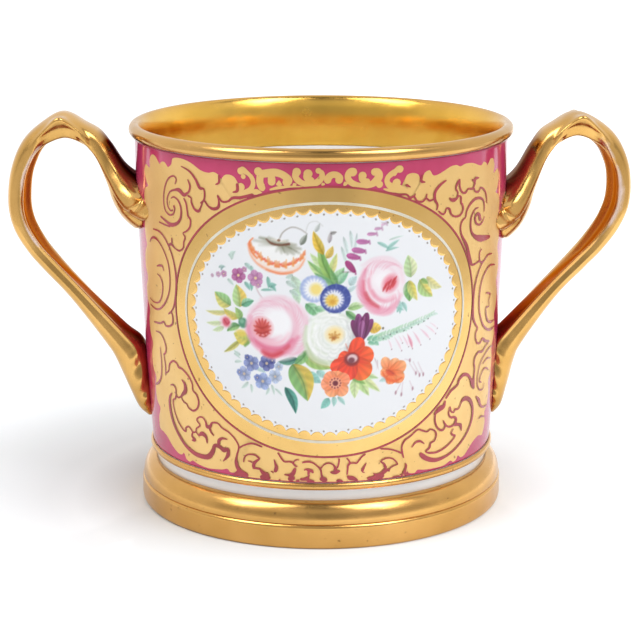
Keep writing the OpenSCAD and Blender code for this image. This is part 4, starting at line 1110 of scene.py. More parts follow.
# Scroll gilding: gold laid over most of the crimson ground on both sides of each reserve, with an edge of
# leaf tips. The ground shows between the scrolls as fine lines, some of them swelling to drops.
LEFT_EDGE = np.array([
    [-25, 109.6], [-26.2, 110.4], [-26.0, 112.6], [-25.6, 114.2], [-27.2, 115.4], [-29.4, 115.2],
    [-31, 113.4], [-31.4, 115.0], [-33.2, 115.8], [-35.2, 115.4], [-38, 115.9], [-42, 117.8], [-46, 118.6],
    [-49.6, 118.2], [-50.6, 116.2], [-52.4, 115.2], [-54, 116.4], [-56, 116.2], [-57.4, 114.6],
    [-59, 117.2], [-61.5, 117.8], [-63.4, 116.2], [-63.8, 113.4], [-66.6, 114], [-68.2, 111.6],
    [-66.8, 108.6], [-65.6, 107.4], [-68.4, 106], [-69.6, 103], [-68, 100.6], [-66.4, 100], [-68.8, 97.6],
    [-70.6, 94], [-70.2, 90.6], [-69.4, 88], [-71.6, 85], [-72, 80.6], [-70.4, 77.4], [-72.2, 74],
    [-72.2, 70], [-70.2, 67], [-71.6, 63], [-71.2, 59], [-69.4, 56], [-71.2, 52], [-70.8, 47.6],
    [-68.4, 45], [-69.8, 41], [-69, 37], [-66.6, 35], [-68.4, 31.6], [-68.4, 28], [-65, 27.4], [-62, 26.4],
    [-58.6, 24.2], [-55.4, 22.8], [-53.2, 22.8], [-51.8, 23.6], [-50.6, 21.9], [-48.9, 21.4], [-47.2, 22.1],
    [-44.6, 21.5], [-40, 21.1], [-34.6, 21.7], [-32.2, 22.3], [-31, 21.4], [-29.2, 21.7], [-28.2, 23.2],
    [-28.4, 25.4], [-27.7, 28], [-27.2, 29.8]])
RIGHT_EDGE = np.array([
    [25, 110.2], [26.2, 112.0], [25, 113.4], [25.6, 115.4], [27.4, 116], [29.4, 115.4], [30.2, 113.6],
    [31, 113.6], [31.6, 115.6], [33.4, 116.3], [34.6, 114.8], [36, 114.6], [38.4, 115.4], [41.4, 116.6],
    [43.8, 116.8], [45.6, 116.2], [48, 116.7], [51.4, 116.5], [54.8, 115.4], [56.4, 115.2], [57.8, 116],
    [59.6, 115.2], [60.2, 113.6], [62, 116.2], [64.2, 116], [65.4, 113.8], [65, 111.4], [68.2, 112.4],
    [70, 109.6], [69, 106.4], [67.6, 105], [70.8, 103.6], [72.2, 100], [70.8, 97], [69.6, 96], [72.4, 93.4],
    [73.6, 89.6], [72.4, 86.6], [74.4, 83], [74.8, 78.6], [73.2, 75.4], [75, 71.6], [75, 67.4],
    [73.4, 64.4], [74.8, 60.6], [74.4, 56.4], [72.6, 53.6], [74.2, 49.6], [73.8, 45.4], [71.8, 42.8],
    [73, 38.8], [72.2, 34.8], [70, 32.6], [71.2, 29], [69.4, 25.4], [65.6, 26], [62, 25.4], [59, 24],
    [56, 22.1], [53.6, 21.7], [51.8, 22.7], [50.8, 21.5], [49.2, 21.2], [47.6, 21.9], [44, 21],
    [36.4, 21.3], [33.2, 21.8], [32, 21], [29.8, 21.3], [28.8, 22.8], [28.8, 24.6], [27.6, 26.6],
    [26.8, 28.4]])
GROUND_LINES = [
    [(-49.0, 110.3, .3), (-48.3, 111.9, .5), (-49.6, 112.8, .5), (-52.2, 111.6, .5), (-54.3, 108.6, .5),
     (-55.2, 104.6, .5), (-54.6, 101.7, .5), (-52.6, 100.4, .5), (-50.6, 100.8, .5), (-49.6, 102.4, .5),
     (-50.0, 103.7, .9)],
    [(-43.8, 107.8, .7), (-45.2, 107.6, 1.1), (-47, 108.7, 1.3), (-49.0, 108.6, .7), (-51.6, 107.6, .5),
     (-53.2, 105.2, .5), (-53.0, 103.0, .5), (-51.6, 101.8, .5), (-50.4, 102.2, .4)],
    [(-51.3, 105.6, .3), (-49.6, 106.3, .5), (-47.5, 105.2, .6), (-46.5, 102.8, .7), (-47.0, 100.0, .8),
     (-48.8, 98.2, 1.0), (-51.5, 97.4, 1.2), (-54.0, 98.0, .8), (-57.5, 99.2, .6)],
    [(-58.6, 97.2, .4), (-55.5, 96.9, .5), (-52, 96.7, .5)],
    [(-45.2, 106.6, .5), (-44.2, 105, .6), (-43.8, 102.6, .6), (-43.6, 101.3, .6), (-42.6, 100.2, .6),
     (-42.9, 98.0, .6), (-44.5, 96.4, .5), (-46.0, 95.6, .4), (-45.2, 94.4, .5), (-45.9, 92.7, .5),
     (-46.2, 91, .5), (-48.0, 89.8, .6), (-50.0, 90.2, .5), (-52.0, 91.2, .9), (-53.5, 90.6, .5)],
    [(-51.6, 93.4, .5), (-51.6, 91.6, .7)],
    [(-46, 116.3, .3), (-42.5, 115.2, .6), (-40, 113, .8), (-38.5, 110.6, 1.0), (-36.9, 110.3, .6),
     (-36.6, 108.6, .6), (-37, 106.9, .6), (-38.4, 105.8, .4)],
    [(-43.2, 112.6, .4), (-42.3, 110.6, .7), (-43.0, 108.7, .6), (-44.6, 107.8, .8)],
    [(-43.5, 107.6, .7), (-42.0, 107.0, .5), (-41.9, 105.6, .6), (-40.8, 103.8, .7), (-39.2, 103.3, .9),
     (-38.3, 104.5, .5), (-37.0, 106.8, .6), (-35.4, 105.3, .6), (-33.6, 104.6, .9), (-31.8, 105.3, .9),
     (-31.5, 107.2, .6), (-31.9, 108.9, .4), (-30.4, 107.2, .6), (-28.4, 107.4, .6), (-26.7, 108.6, .8),
     (-24, 108.9, .9), (-20, 110.2, .7)],
    [(-32.6, 112.1, .3), (-31.3, 112.9, .7), (-31.3, 115.2, .6)],
    [(-26.8, 110.3, .3), (-25.2, 110.9, .9), (-25.2, 113.2, .9)],
    [(-63, 94.2, .4), (-59, 94.2, .6), (-55.8, 92.8, .6), (-53, 89.8, .6), (-51.2, 86, .6), (-50.3, 81, .7),
     (-50.8, 76, .8), (-52.2, 71.6, .6), (-54.0, 69.4, .5), (-55.7, 68.3, .3)],
    [(-66, 89.5, .5), (-64.6, 90.9, .6), (-62, 91.6, .8), (-59, 90.6, .5), (-56, 88, .5), (-54.0, 84, .5),
     (-53.7, 79, .5), (-54.8, 75, .5), (-57.5, 71.4, .6), (-61, 69.0, .6), (-64.5, 68.3, .6),
     (-69, 68.9, .4)],
    [(-61.6, 80.2, .3), (-59.3, 79.4, .5), (-58.2, 77, .5), (-59.2, 73.4, .5), (-61.5, 71, .5),
     (-65.5, 70.3, .4), (-69, 71, .3)],
    [(-61.5, 82.6, .3), (-59.5, 83.2, .7), (-57.8, 83.2, .6), (-56.8, 81.8, .3)],
    [(-55.6, 68.4, .4), (-54.0, 69.3, .5), (-53.2, 68, .6), (-53.5, 65.8, .6), (-55.4, 64.5, .6),
     (-57.6, 64.2, .6), (-59, 65.2, .6), (-61.5, 64.2, .6), (-66.5, 63.6, .5)],
    [(-65.5, 60.8, .3), (-62, 60.9, .5), (-59.6, 59.4, .6), (-58.4, 56.8, .6), (-59.2, 54.9, .6),
     (-60.2, 54.2, .5), (-59.6, 51, .6), (-59.9, 47.4, .5)],
    [(-62.6, 56.5, .4), (-62.4, 50, .6), (-63.6, 46, .7), (-66.5, 43.4, .8), (-70, 42.2, .5)],
    [(-59.6, 48.3, .4), (-57.6, 49.6, .5), (-56.8, 51.8, .6), (-54.5, 53.4, .6), (-52.4, 53.0, .6),
     (-51.5, 52, .7), (-49.5, 51.7, .6), (-47, 50.2, .6), (-45.2, 48, .5), (-45, 45.8, .5),
     (-43.4, 44.6, .6), (-42.6, 42.4, .6), (-43.4, 40.2, .6), (-45.4, 39.0, .6), (-47.6, 39.6, .5),
     (-48.4, 40.6, .5), (-50.0, 41.1, .5), (-51.3, 42.6, .5)],
    [(-50.3, 48.3, .3), (-48.8, 47, 1.1), (-48.7, 44.9, 1.5), (-50.2, 43.4, 1.0), (-51.4, 42.4, .5),
     (-52.8, 41.8, .6), (-53.9, 42.5, .6), (-53.9, 44.4, .6), (-55.2, 45.4, .6), (-57.0, 45.0, .3)],
    [(-53.9, 42.4, .5), (-54.8, 40.9, .6), (-56, 40.2, .5), (-55.8, 37.5, .5), (-54, 34, .5),
     (-51.5, 31.8, .5), (-49.9, 31.3, .6), (-49.6, 32.5, .5), (-48.2, 33.2, .5), (-46.8, 32.4, .5),
     (-46.2, 31.8, .5), (-44.8, 32.2, .5), (-44.3, 33.4, .5), (-42.6, 34.8, .5), (-43.9, 36.2, .5),
     (-42.8, 37.4, .5), (-41.2, 37.6, .5), (-40.0, 36.4, .6), (-39.5, 35.0, 1.1), (-38.2, 35.2, 1.0),
     (-37.2, 36.6, .6), (-35, 36.8, .5), (-33.4, 35.6, .5), (-31, 34.6, .5), (-28.8, 32.8, .5),
     (-27.4, 30.4, .5), (-28.2, 27.4, .6), (-28.7, 25, .9), (-28.2, 22.8, .9)],
    [(-46.2, 31.8, .5), (-46.7, 30.4, .7), (-45.4, 29.3, .9), (-47, 29.0, .4)],
    [(-44.6, 32.2, .4), (-43.4, 31.4, .6), (-41.8, 32.2, 1.4), (-40.2, 31.4, 1.1), (-39.8, 29.3, .4)],
    [(-38.6, 35.2, .9), (-38.0, 33.6, .7), (-36.8, 32.4, .4)],
    [(-56.4, 42.5, .4), (-57.9, 40.8, 1.0), (-58.4, 38, 1.3), (-57.4, 34, 1.3), (-54.8, 30.2, 1.2),
     (-50.5, 26.6, 1.2), (-45.8, 24.8, 1.4), (-41.5, 24.6, 1.5), (-39.2, 25.3, 1.7), (-37.6, 27.2, 1.5),
     (-36.6, 29.2, 1.2), (-34.8, 29.2, 1.2), (-33, 28.4, 1.5), (-31.4, 28.9, .9), (-31.5, 27.2, 1.3),
     (-32.4, 25.8, .8), (-33.6, 24.6, .3)],
    [(-35.0, 29.0, .9), (-34.9, 31.0, 1.1), (-33.6, 32.1, .8), (-31.4, 32.1, .3)],
    [(-27.4, 29.8, .5), (-25.5, 31, .5), (-22.5, 32, .6), (-19, 31.2, .5)],
    [(48.8, 100.1, .5), (49.3, 102.2, .6), (51.2, 104.2, .8), (54, 105.2, .8), (57, 104.7, .7),
     (58.7, 103, .6), (58.9, 100.2, .4)],
    [(55.8, 108.4, .5), (57.8, 107.6, .6), (59.6, 105.8, .6), (60.6, 102.6, .4)],
    [(55.5, 102.2, .3), (53.4, 101.8, .5), (51.7, 99.8, .6), (51.4, 97.2, .7), (52.2, 94.8, .8),
     (54.2, 93.2, 1.3), (57, 92.2, 2.0), (60, 91.8, 1.7), (64, 91.6, .9)],
    [(59.3, 98.8, .3), (58.2, 97.3, .5), (56.4, 96.6, .6), (54.4, 97.4, .7), (53.7, 99.2, .8),
     (55, 100.3, .9), (56.2, 99.5, 1.1), (56.5, 98.4, 1.2), (57.6, 98.1, .4)],
    [(48.8, 100.1, .5), (47.3, 99.3, .6), (46.5, 97.7, .6), (46.8, 95.5, .6), (47.8, 93.8, .8),
     (49.3, 91.8, 1.2), (50.3, 90.1, 1.2), (51.2, 87.8, 1.3), (52.2, 85.6, 1.3), (53.2, 84.5, .7),
     (55, 84.5, .5), (57.2, 84.9, .6), (58.8, 84.3, .6), (60.6, 84.6, .5), (63, 85.8, .6),
     (66.5, 85.7, .4)],
    [(58.6, 88.6, .3), (57.4, 87.8, .5), (57.3, 86.2, .5), (57.8, 84.8, .5)],
    [(39.8, 112.7, .4), (37.4, 111.5, .8), (35.6, 109.6, .9), (35.5, 107.3, .9), (36.6, 105.4, .6),
     (36.2, 103.8, .4)],
    [(36.9, 103.6, .4), (38.6, 102.4, .6), (39.6, 102.8, .5), (40.2, 104.0, .5), (41.4, 103.6, .7),
     (42.2, 101.9, .6), (44, 101.0, .6), (46.2, 101.2, .6), (47.4, 102.8, .6), (46.9, 104.3, .6),
     (46.3, 105, .6), (46.2, 106.6, .6), (45.2, 107.2, .5), (44.4, 106.6, .7), (43.2, 106.2, 1.1),
     (42.0, 106.4, .9), (41.2, 107.2, .3)],
    [(44.5, 106.8, .5), (44.7, 108.3, .5), (43.8, 109.6, .6), (44.3, 111.0, .8), (45.4, 112.4, .4)],
    [(45.4, 112.4, .4), (45.5, 110.0, .6), (46.6, 108.2, .6), (48.2, 107.8, .6), (49.6, 108.8, .5),
     (51.4, 108.5, .6), (52.3, 109.2, .6), (52.7, 110.5, .9), (51.2, 111.5, .4)],
    [(52.7, 110.5, .9), (53.2, 111.5, 1.0), (55, 111.5, .3)],
    [(52.2, 108.9, .6), (53.2, 107.5, .6), (55, 107.2, .6), (56.2, 108.4, .5)],
    [(30.9, 115.3, .4), (30.4, 113.4, .9), (31.9, 112.9, .3)], [(25.2, 112.7, .9), (26.9, 111.8, .3)],
    [(20, 110.4, .5), (23, 109.9, .7), (25.5, 109.7, .6), (26.8, 108.6, .7), (28.0, 108.9, .6),
     (29.2, 107.4, .6), (31, 107.1, .6), (32.3, 107.9, .6), (33.6, 107.1, .6), (35.4, 107.5, .4)],
    [(28.2, 108.9, .5), (28.5, 109.8, .3)], [(32.3, 108, .6), (32.5, 109.4, .3)],
    [(60.6, 84.7, .5), (58.4, 83.2, .5), (56.3, 80, .6), (55.1, 76, .7), (54.9, 71, .9), (55.5, 67, .9),
     (57.2, 64.6, .6), (58.5, 63.2, .6), (57.6, 61.8, .6), (57.7, 60, .6), (59, 58.2, .6), (61, 57.9, .6),
     (62.8, 58.8, .8), (65.5, 57.4, .9), (69, 56.6, .4), (66, 55.8, .5), (63, 54.6, .7), (60.4, 55.0, .7),
     (58.2, 53.9, .7), (57.6, 52, .7), (58.2, 50.4, .7), (58.2, 48, .7), (58.2, 45.4, 1.2),
     (58.9, 43.2, .5)],
    [(70, 81.4, .4), (66, 82.1, .6), (63, 81.4, .6), (60.3, 79.2, .6), (58.8, 75.8, .6), (58.6, 71.5, .6),
     (59.6, 67.5, .6), (62.2, 63.6, .7), (66, 61.2, .8), (70, 60.3, .8), (74, 60.6, .4)],
    [(63.2, 73.5, .3), (65, 73.2, .6), (67, 72.4, .5), (66.0, 70.6, .4), (66.4, 68.7, .4), (64, 68.6, .6),
     (64.5, 66, .7), (66.2, 64, .7), (69, 62.9, .8), (73, 62.8, .4)],
    [(74, 54.0, .3), (70, 54.3, .5), (65.5, 53, .5), (62.4, 51, .5), (61, 48, .5), (60.9, 45, .5),
     (62, 42.8, .5), (64, 41.6, .5), (66.2, 41.8, .4), (66.8, 43.4, .3)],
    [(64.3, 44.1, .3), (62.6, 45, .6), (63.4, 46.8, .5), (65.2, 48.1, .5), (68, 48, .5), (70.6, 46.6, .3)],
    [(64, 50.2, .3), (68, 51.1, .5), (72, 50.4, .4)],
    [(60.6, 40.4, .3), (63.2, 38.3, 1.4), (65, 36.2, .9), (68, 35, .6), (72, 34.9, .4)],
    [(64, 31.9, .3), (66.5, 32.2, .6), (70, 31.2, .5)],
    [(43.4, 43.2, .6), (45.4, 45.2, .7), (47, 46.0, .8), (48.8, 46.8, .7), (49.6, 48.4, .9),
     (51.6, 49.4, 1.1), (54, 48.9, 1.0), (56, 47.2, 1.0), (57.4, 45.2, 1.7), (58.8, 43.2, .5)],
    [(51.2, 40.2, .5), (52.4, 41.2, 1.2), (54.8, 41.0, 1.4), (57.4, 39.2, 1.3), (58.9, 36, 1.2),
     (58.4, 32.4, 1.0), (55.4, 28.8, .8), (50.5, 25.8, .7), (45.5, 24.1, .8), (40.5, 23.7, 1.2),
     (36.6, 24.9, 1.5), (34.4, 26.4, 1.4), (33.7, 27.4, .6)],
    [(51.4, 40.4, .5), (50.4, 38.9, .5), (49.2, 38.6, .5), (48.5, 38.9, .6), (47.6, 38.0, .5),
     (46.4, 38.6, .5), (45.7, 40.4, .3)],
    [(45.6, 40.2, .3), (45.2, 38.2, .5), (46.3, 36.6, .6), (48.2, 36.3, .7), (49.2, 35.3, .9),
     (48.8, 33.9, 1.2), (50.4, 33.4, .9), (52.0, 32.7, 1.1), (52.5, 30.7, .3)],
    [(48.8, 34, .8), (46.8, 33.5, .6), (45, 33.9, .6), (43.8, 34.9, .6), (42.8, 36.4, .3)],
    [(39.2, 39.4, .5), (39.1, 37, .6), (40.2, 34.6, .6), (42.2, 33.2, .7), (43.6, 33.6, .6),
     (44, 34.8, .5)],
    [(48.2, 32.6, .3), (47.2, 31.4, .5), (48, 30.4, .7), (49.1, 30.0, .6), (48.2, 28.9, .5),
     (44.8, 27.2, .6), (41, 26.3, .6), (37.6, 26.6, .6), (36.0, 27.4, .5), (37.4, 28.4, .7),
     (37.8, 29.8, .6), (39.4, 30.4, .5), (40, 32.2, .6), (39.2, 33.6, .5), (37.4, 34.4, .5), (36, 33.9, .5),
     (34, 34.6, .6), (32.2, 35.1, .5), (29.5, 33.4, .5), (27.6, 32.4, .6), (26.6, 30.6, .5),
     (26.8, 28.6, .6), (27.4, 26.6, .4)],
    [(30.2, 29.6, .3), (31.6, 31, .6), (33.4, 31.2, .7), (35.2, 30, .3)],
    [(19, 30.6, .4), (22, 30.2, .5), (24.4, 29.4, .5), (26.6, 28.3, .6)],
    [(38.5, 39.0, .5), (40.8, 40.4, 1.6), (42.6, 41.0, 1.3), (43.2, 42.8, .5)]]
GOLD_SCROLLS = [
    [(-24.3, 117.1, 1), (-23.6, 117.3, 1.7), (-22.7, 116.9, 1.5), (-21.6, 116.2, 1.1), (-20.7, 115.3, 1.15),
     (-20.15, 114, 1.2), (-20.35, 112.6, 1.3), (-21.2, 111.3, 1.5), (-22.8, 110.2, 1.9),
     (-25.2, 109.5, 1.7)],
    [(-18.6, 117, 1.8), (-17.2, 116.5, 2), (-15.2, 116.8, 2.1), (-13.2, 117, 2), (-11.4, 116.5, 1.9),
     (-9.9, 115.4, 2), (-9.5, 114.3, 2.3), (-9.8, 113.9, 2.2)],
    [(-17.6, 116.6, 2), (-18, 115.2, 1.9), (-18, 113.6, 1.9), (-17.3, 112.3, 2), (-16.5, 112.1, 1.7)],
    [(-14.5, 116.4, 1.8), (-14.5, 115, 2), (-14.3, 113.8, 2.3)],
    [(-6.5, 117.5, 1.4), (-7.2, 117, 1.9), (-7.5, 116, 1.6), (-6.8, 114.9, 1.6), (-5.6, 114.1, 1.5),
     (-4, 113.7, 1.5), (-2.2, 113.9, 1.7), (-.8, 114.7, 1.7), (.1, 115.9, 1.5), (.1, 117.1, 1.3),
     (-.8, 117.9, 1)],
    [(-3.8, 117, 2.2), (-4.1, 116, 2), (-3.4, 115, 1.9), (-2, 114.8, 1.9)],
    [(2, 114.5, 2.1), (1.9, 115.5, 1.9), (2.9, 116.5, 1.7), (4.3, 116.5, 1.7), (5.2, 115.6, 1.9),
     (5.1, 114.7, 2)],
    [(9.7, 117.5, 1.6), (8.7, 117.5, 1.9), (7.8, 116.7, 1.7), (7.7, 115.4, 1.6), (8.6, 114.2, 1.6),
     (10.2, 113.4, 1.5), (12, 113.1, 1.4), (13.8, 113.2, 1.5), (15.4, 113.9, 1.9), (16.6, 115.2, 2.1),
     (16.8, 116.4, 2), (16.2, 117.3, 1.6), (15.2, 117.3, 1.2)],
    [(12.1, 116.2, 2), (11.8, 115.3, 1.8), (12.6, 114.4, 1.7), (14.2, 114.2, 1.8)],
    [(23.8, 117.6, 1.4), (23, 117.7, 1.6), (22, 117, 1.4), (20.8, 116.3, 1.5), (19.7, 115.4, 1.4),
     (19.3, 114.2, 1.4), (19.9, 113, 1.6), (21.4, 112.1, 2), (23.4, 111.4, 2.2), (25.6, 110.6, 2)],
    [(-21, 109.95, .1), (-19.4, 110.9, 1.5), (-17.4, 110.8, .2)],
    [(-12.3, 114.7, .3), (-12.3, 113.7, 1.4), (-12.3, 113, 2.6)],
    [(-15.2, 111.75, .4), (-12.5, 112.5, .8), (-9, 112.95, .5), (-5.4, 113, .3)],
    [(-8, 114.1, .2), (-7.8, 113.6, 1.1), (-7.4, 113.2, 1.7)],
    [(.3, 114.3, .2), (.5, 113.7, 1.1), (.6, 113.4, 1.8)],
    [(6.7, 114.5, .2), (6.9, 113.9, 1.2), (7.2, 113.4, 2.2)],
    [(18.2, 111.9, .3), (19.8, 111.4, .7), (22, 110.6, .2)]]
GOLD_BALLS = [
    (-24, 116.9, 1.05), (-23.2, 115.3, .75), (-24, 112.1, 1.2), (-18.5, 117.1, 1.25), (-14.5, 114.2, 1.15),
    (-10, 114.2, 1.25), (-17.4, 112.3, 1), (-7.1, 117.4, 1.2), (-3.85, 116.9, 1.3), (-.85, 117.8, .85),
    (1.8, 115, 1.05), (5.1, 115, 1.1), (9, 117.3, 1.3), (11.9, 116.1, 1.2), (15.5, 117.1, 1.1),
    (17, 113.3, 1.05), (23.3, 117.5, 1.1), (21.5, 116.4, .85), (22.3, 113.4, 1.3)]
BASE_LINES = [
    [(-28.5, 26.4, .35), (-28.35, 25.2, .9), (-28.2, 24, 1), (-27.7, 22.9, 1.5), (-26.9, 21.9, 2),
     (-25.4, 21.4, 1.7), (-24.3, 21.3, 1.6)],
    [(-29.6, 21.1, .4), (-28.4, 21.4, 1.2), (-27, 21.3, 1.6)],
    [(-25.8, 25.5, .4), (-25.5, 26.8, .5), (-24.7, 27.9, .5), (-23.2, 28.4, .5), (-21.6, 28.3, .55),
     (-20.5, 27.6, .6), (-20.1, 27, .5)],
    [(-20.2, 27.2, .5), (-21, 26.6, .8), (-21.9, 25.8, 1), (-22.3, 24.8, 1.1), (-22.2, 24, .9)],
    [(-22.7, 23.9, .5), (-21.4, 24, .6), (-20.2, 23.9, .7), (-19.6, 23.3, 1), (-18.6, 22.4, 1.6),
     (-17.6, 22.2, 1.6), (-16.9, 22.2, .8)],
    [(-20.2, 21.3, .9), (-18.4, 21.5, 1.5), (-16.6, 21.2, .9)],
    [(-24.3, 26.15, .3), (-23.3, 26, .4), (-22.5, 25.7, .5)],
    [(-15.25, 27.6, .25), (-14.95, 26.4, .6), (-14.6, 25.2, 1.1), (-14.7, 24.2, 1.3), (-15.2, 23.4, 1)],
    [(-16.4, 23.6, .35), (-15.4, 23.1, .4)], [(-13.9, 20.9, .5), (-13.2, 21, .5)],
    [(-12, 22.8, .4), (-11, 22.7, .6), (-10, 22.7, 1.1), (-9.2, 23.2, 1.4), (-8.7, 24.2, 1.2),
     (-8.4, 25.2, .7)],
    [(-10.8, 21.3, 1), (-9.4, 21.7, 1.8), (-8.5, 21.6, 1.1)], [(-8.2, 21.1, .5), (-7, 21.1, .5)],
    [(-14, 29.9, .5), (-13.2, 28.6, .5), (-12.3, 27.4, .55), (-11.6, 27, .5), (-10.2, 27.1, .5),
     (-9.3, 26.9, .6), (-8.8, 26.3, .6), (-8.3, 25.8, .5), (-7.6, 25.6, .4)],
    [(-9, 26.7, .4), (-8.6, 27.4, .4), (-7.9, 27.8, .4), (-7, 27.8, .25)],
    [(-6.2, 26.9, .4), (-5.2, 27.2, .55), (-3.8, 27.3, .6), (-2.4, 26.8, .5), (-1.2, 25.8, .5),
     (-.5, 25.2, .7), (-.1, 24.2, .6), (0, 23.2, .6), (.3, 22.4, .9)],
    [(-5.6, 24.5, .3), (-4.8, 24.8, .6), (-4, 24.5, 1.1), (-3.1, 24.3, 1), (-2.6, 23.6, .5)],
    [(-4.1, 24.2, 1), (-4.1, 23.2, .7), (-3.9, 22.4, .6)],
    [(-6.9, 21.5, .9), (-5.8, 21.5, .9), (-4.6, 21.8, 1.3), (-4, 22.4, .8)],
    [(-4.8, 21.2, .8), (-3.6, 21.2, .7), (-2.2, 20.9, .5)],
    [(-.6, 21.6, .9), (.4, 21.7, 1.7), (1.4, 21.4, 1.3), (1.9, 21.1, .6)],
    [(-.1, 25.2, .6), (.3, 25.8, .4), (1, 26.5, .45), (2.2, 26.9, .5), (3.4, 26.6, .5), (4.1, 25.9, .6),
     (4.4, 25.2, 1), (4.4, 24.4, 1.6)],
    [(2.8, 23.9, .4), (3.6, 23.8, .9), (4.6, 23.9, 1.3), (5.6, 24.2, .8), (5.9, 24.5, .3)],
    [(5, 25.2, .6), (5.4, 26.2, .5), (5.6, 27.4, .55), (5.6, 28.4, .6)],
    [(8, 28.4, .5), (8.8, 27.5, .5), (9.1, 26.6, .6), (8.5, 25.9, .7), (8.4, 24.4, .5), (8.2, 22.9, .5)],
    [(8.9, 26.6, .4), (10.2, 26.7, .5), (11.3, 26.6, .5), (12, 27.4, .5), (13, 28.6, .5), (14.2, 29.4, .5)],
    [(8.3, 22.6, .5), (9, 21.9, 1.3), (10, 21.7, 1.4), (11, 21.3, 1), (11.8, 20.9, .4)],
    [(4.8, 21, .5), (5.8, 21.2, .7), (7, 20.9, .4)],
    [(14.5, 26.5, .25), (13.9, 25.4, .6), (13.3, 24.3, .9), (13.1, 23.6, .6)],
    [(13.1, 23.6, .4), (14, 23.3, .3)],
    [(14.8, 21.2, .8), (16.2, 21.3, 1.1), (18, 21.5, 1.5), (19.6, 21.7, 1.8), (20.6, 21.6, 1.5)],
    [(16.8, 22.8, .3), (18, 22.3, .7), (19.6, 22.4, 1.2), (20.8, 23.2, 1.5), (21.6, 23.4, 1.1),
     (22.1, 23, .6)],
    [(21.2, 24, 1.1), (20.8, 24.8, .9), (20.3, 25.7, .7), (19.3, 26.4, .5)],
    [(19.1, 26.3, .4), (20, 27, .45), (21.6, 27.35, .45), (23.2, 27, .45), (24.4, 26.1, .5),
     (25.2, 25, .45), (24.6, 24.7, .4), (23.4, 24.4, .45), (22.5, 23.7, .5), (22.2, 22.8, .6)],
    [(28.1, 24.9, .3), (28.4, 23.9, .7), (28.2, 22.8, .8), (27.9, 21.8, 1.3), (28.6, 21.2, .9),
     (29.6, 20.9, .4)],
    [(26.4, 21, .4), (27.4, 21.3, .9)], [(23.6, 20.9, .4), (25, 20.9, .4), (26.2, 21, .4)]]
BASE_FILL = (-28.3, 28.9, 20.75)
STACK = 0.002
SCROLL_SWELL, LINE_SWELL = 1.15, 1.05
gold, _, shader, _, _ = gilded("gold", (0.775, 0.495, 0.175), (0.865, 0.58, 0.235), 0.36, 0.50)
shader.inputs["Metallic"].default_value = 0.65


def turned_to_panel(rows, swell=1.0):
    """Rows as seen in the picture, turned so that the panel faces straight out, their widths swelled."""
    rows = np.array(rows, float)
    rows[:, 0] -= PANEL_TURN
    rows[:, 2:] *= swell
    return rows


for side, where in ((1, "front"), (-1, "back")):
    fields = []
    for edge in (LEFT_EDGE, RIGHT_EDGE):
        outer = smooth_rows(turned_to_panel(edge), 8)
        a = np.arctan2((outer[:, 1] - OVAL_Z) / BAND[1], outer[:, 0] / BAND[0])
        field = between(oval(BAND, a), outer, 22)
        lift = np.full(field.shape[:2], GOLD_LIFT)
        lift[-1] = ENAMEL_T + 0.01
        fields.append(sheet(field, lift, side))
    s = np.linspace(BASE_FILL[0], BASE_FILL[1], 80) - PANEL_TURN
    under = OVAL_Z - BAND[1] * np.sqrt(1 - (s / BAND[0]) ** 2)
    base = between(np.stack([s, under], -1), np.stack([s, np.full(80, BASE_FILL[2])], -1), 12)
    fields.append(sheet(base, GOLD_LIFT - 0.01, side))
    balls = [[(s - r, z, 2 * r), (s, z, 2 * r), (s + r, z, 2 * r)] for s, z, r in GOLD_BALLS]
    drawn = [turned_to_panel(rows, SCROLL_SWELL) for rows in GOLD_SCROLLS]
    drawn += [turned_to_panel(rows) for rows in balls]
    fields += [sheet(ribbon(rows), GOLD_LIFT + STACK * (i + 10), side) for i, rows in enumerate(drawn)]
    scroll_node = where + "_scroll_gilding"
    piece(scroll_node, *combined(fields), gold, scroll_node, "gilding")
    drawn = [turned_to_panel(rows, LINE_SWELL) for rows in GROUND_LINES]
    drawn += [turned_to_panel(rows) for rows in BASE_LINES]
    lines = [sheet(ribbon(rows), LINE_LIFT + STACK * i, side) for i, rows in enumerate(drawn)]
    piece(where + "_ground_lines", *combined(lines), line_crimson, scroll_node, "crimson_enamel")

# Floor, light and camera: a white sweep under soft studio light, seen from a little above. Where the
# camera or a shiny surface sees the sweep it glows, more with the distance from the cup and to the right, so
# the weaker glow close round the foot and on the left is a painted shadow. Each glow row is a near and a far
# place, and the glow that is added at the two.
SWEEP_HALF, AIM_Z = 3, 0.06
LEFT_TURN, RIGHT_TURN = -60, 45
GLOW_AWAY = ((0.062, 0.082, -0.03, 0.13), (0.09, 0.15, 0, 0.24), (0.17, 0.45, 0, 0.16), (0.5, 2.4, 0, 0.3))
GLOW_ACROSS = (-0.06, 0.06, -0.03, 0.24)
floor_mesh = bpy.data.meshes.new("floor")
corners = [(SWEEP_HALF * x, SWEEP_HALF * y, 0) for x, y in ((-1, -1), (1, -1), (1, 1), (-1, 1))]
floor_mesh.from_pydata(corners, [], [(0, 1, 2, 3)])
floor = linked("floor", floor_mesh)


def background_rays(tree):
    """1 for the rays that show the background: from the camera, off metal and glaze, and through glass."""
    seen = tree.nodes.new("ShaderNodeLightPath").outputs
    return maths(tree, "MAXIMUM", maths(tree, "MAXIMUM", seen["Is Camera Ray"], seen["Is Glossy Ray"]),
                 seen["Is Transmission Ray"])


def bare_material(name):
    """Material with nothing in its node tree but the output, and the socket for its surface."""
    material = bpy.data.materials.new(name)
    material.use_nodes = True
    tree = material.node_tree
    tree.nodes.clear()
    return material, tree, tree.nodes.new("ShaderNodeOutputMaterial").inputs["Surface"]


def glowing(tree, strength):
    """Light given off by a surface, as strong as a value."""
    node = tree.nodes.new("ShaderNodeEmission")
    tree.links.new(strength, node.inputs["Strength"])
    return node.outputs[0]


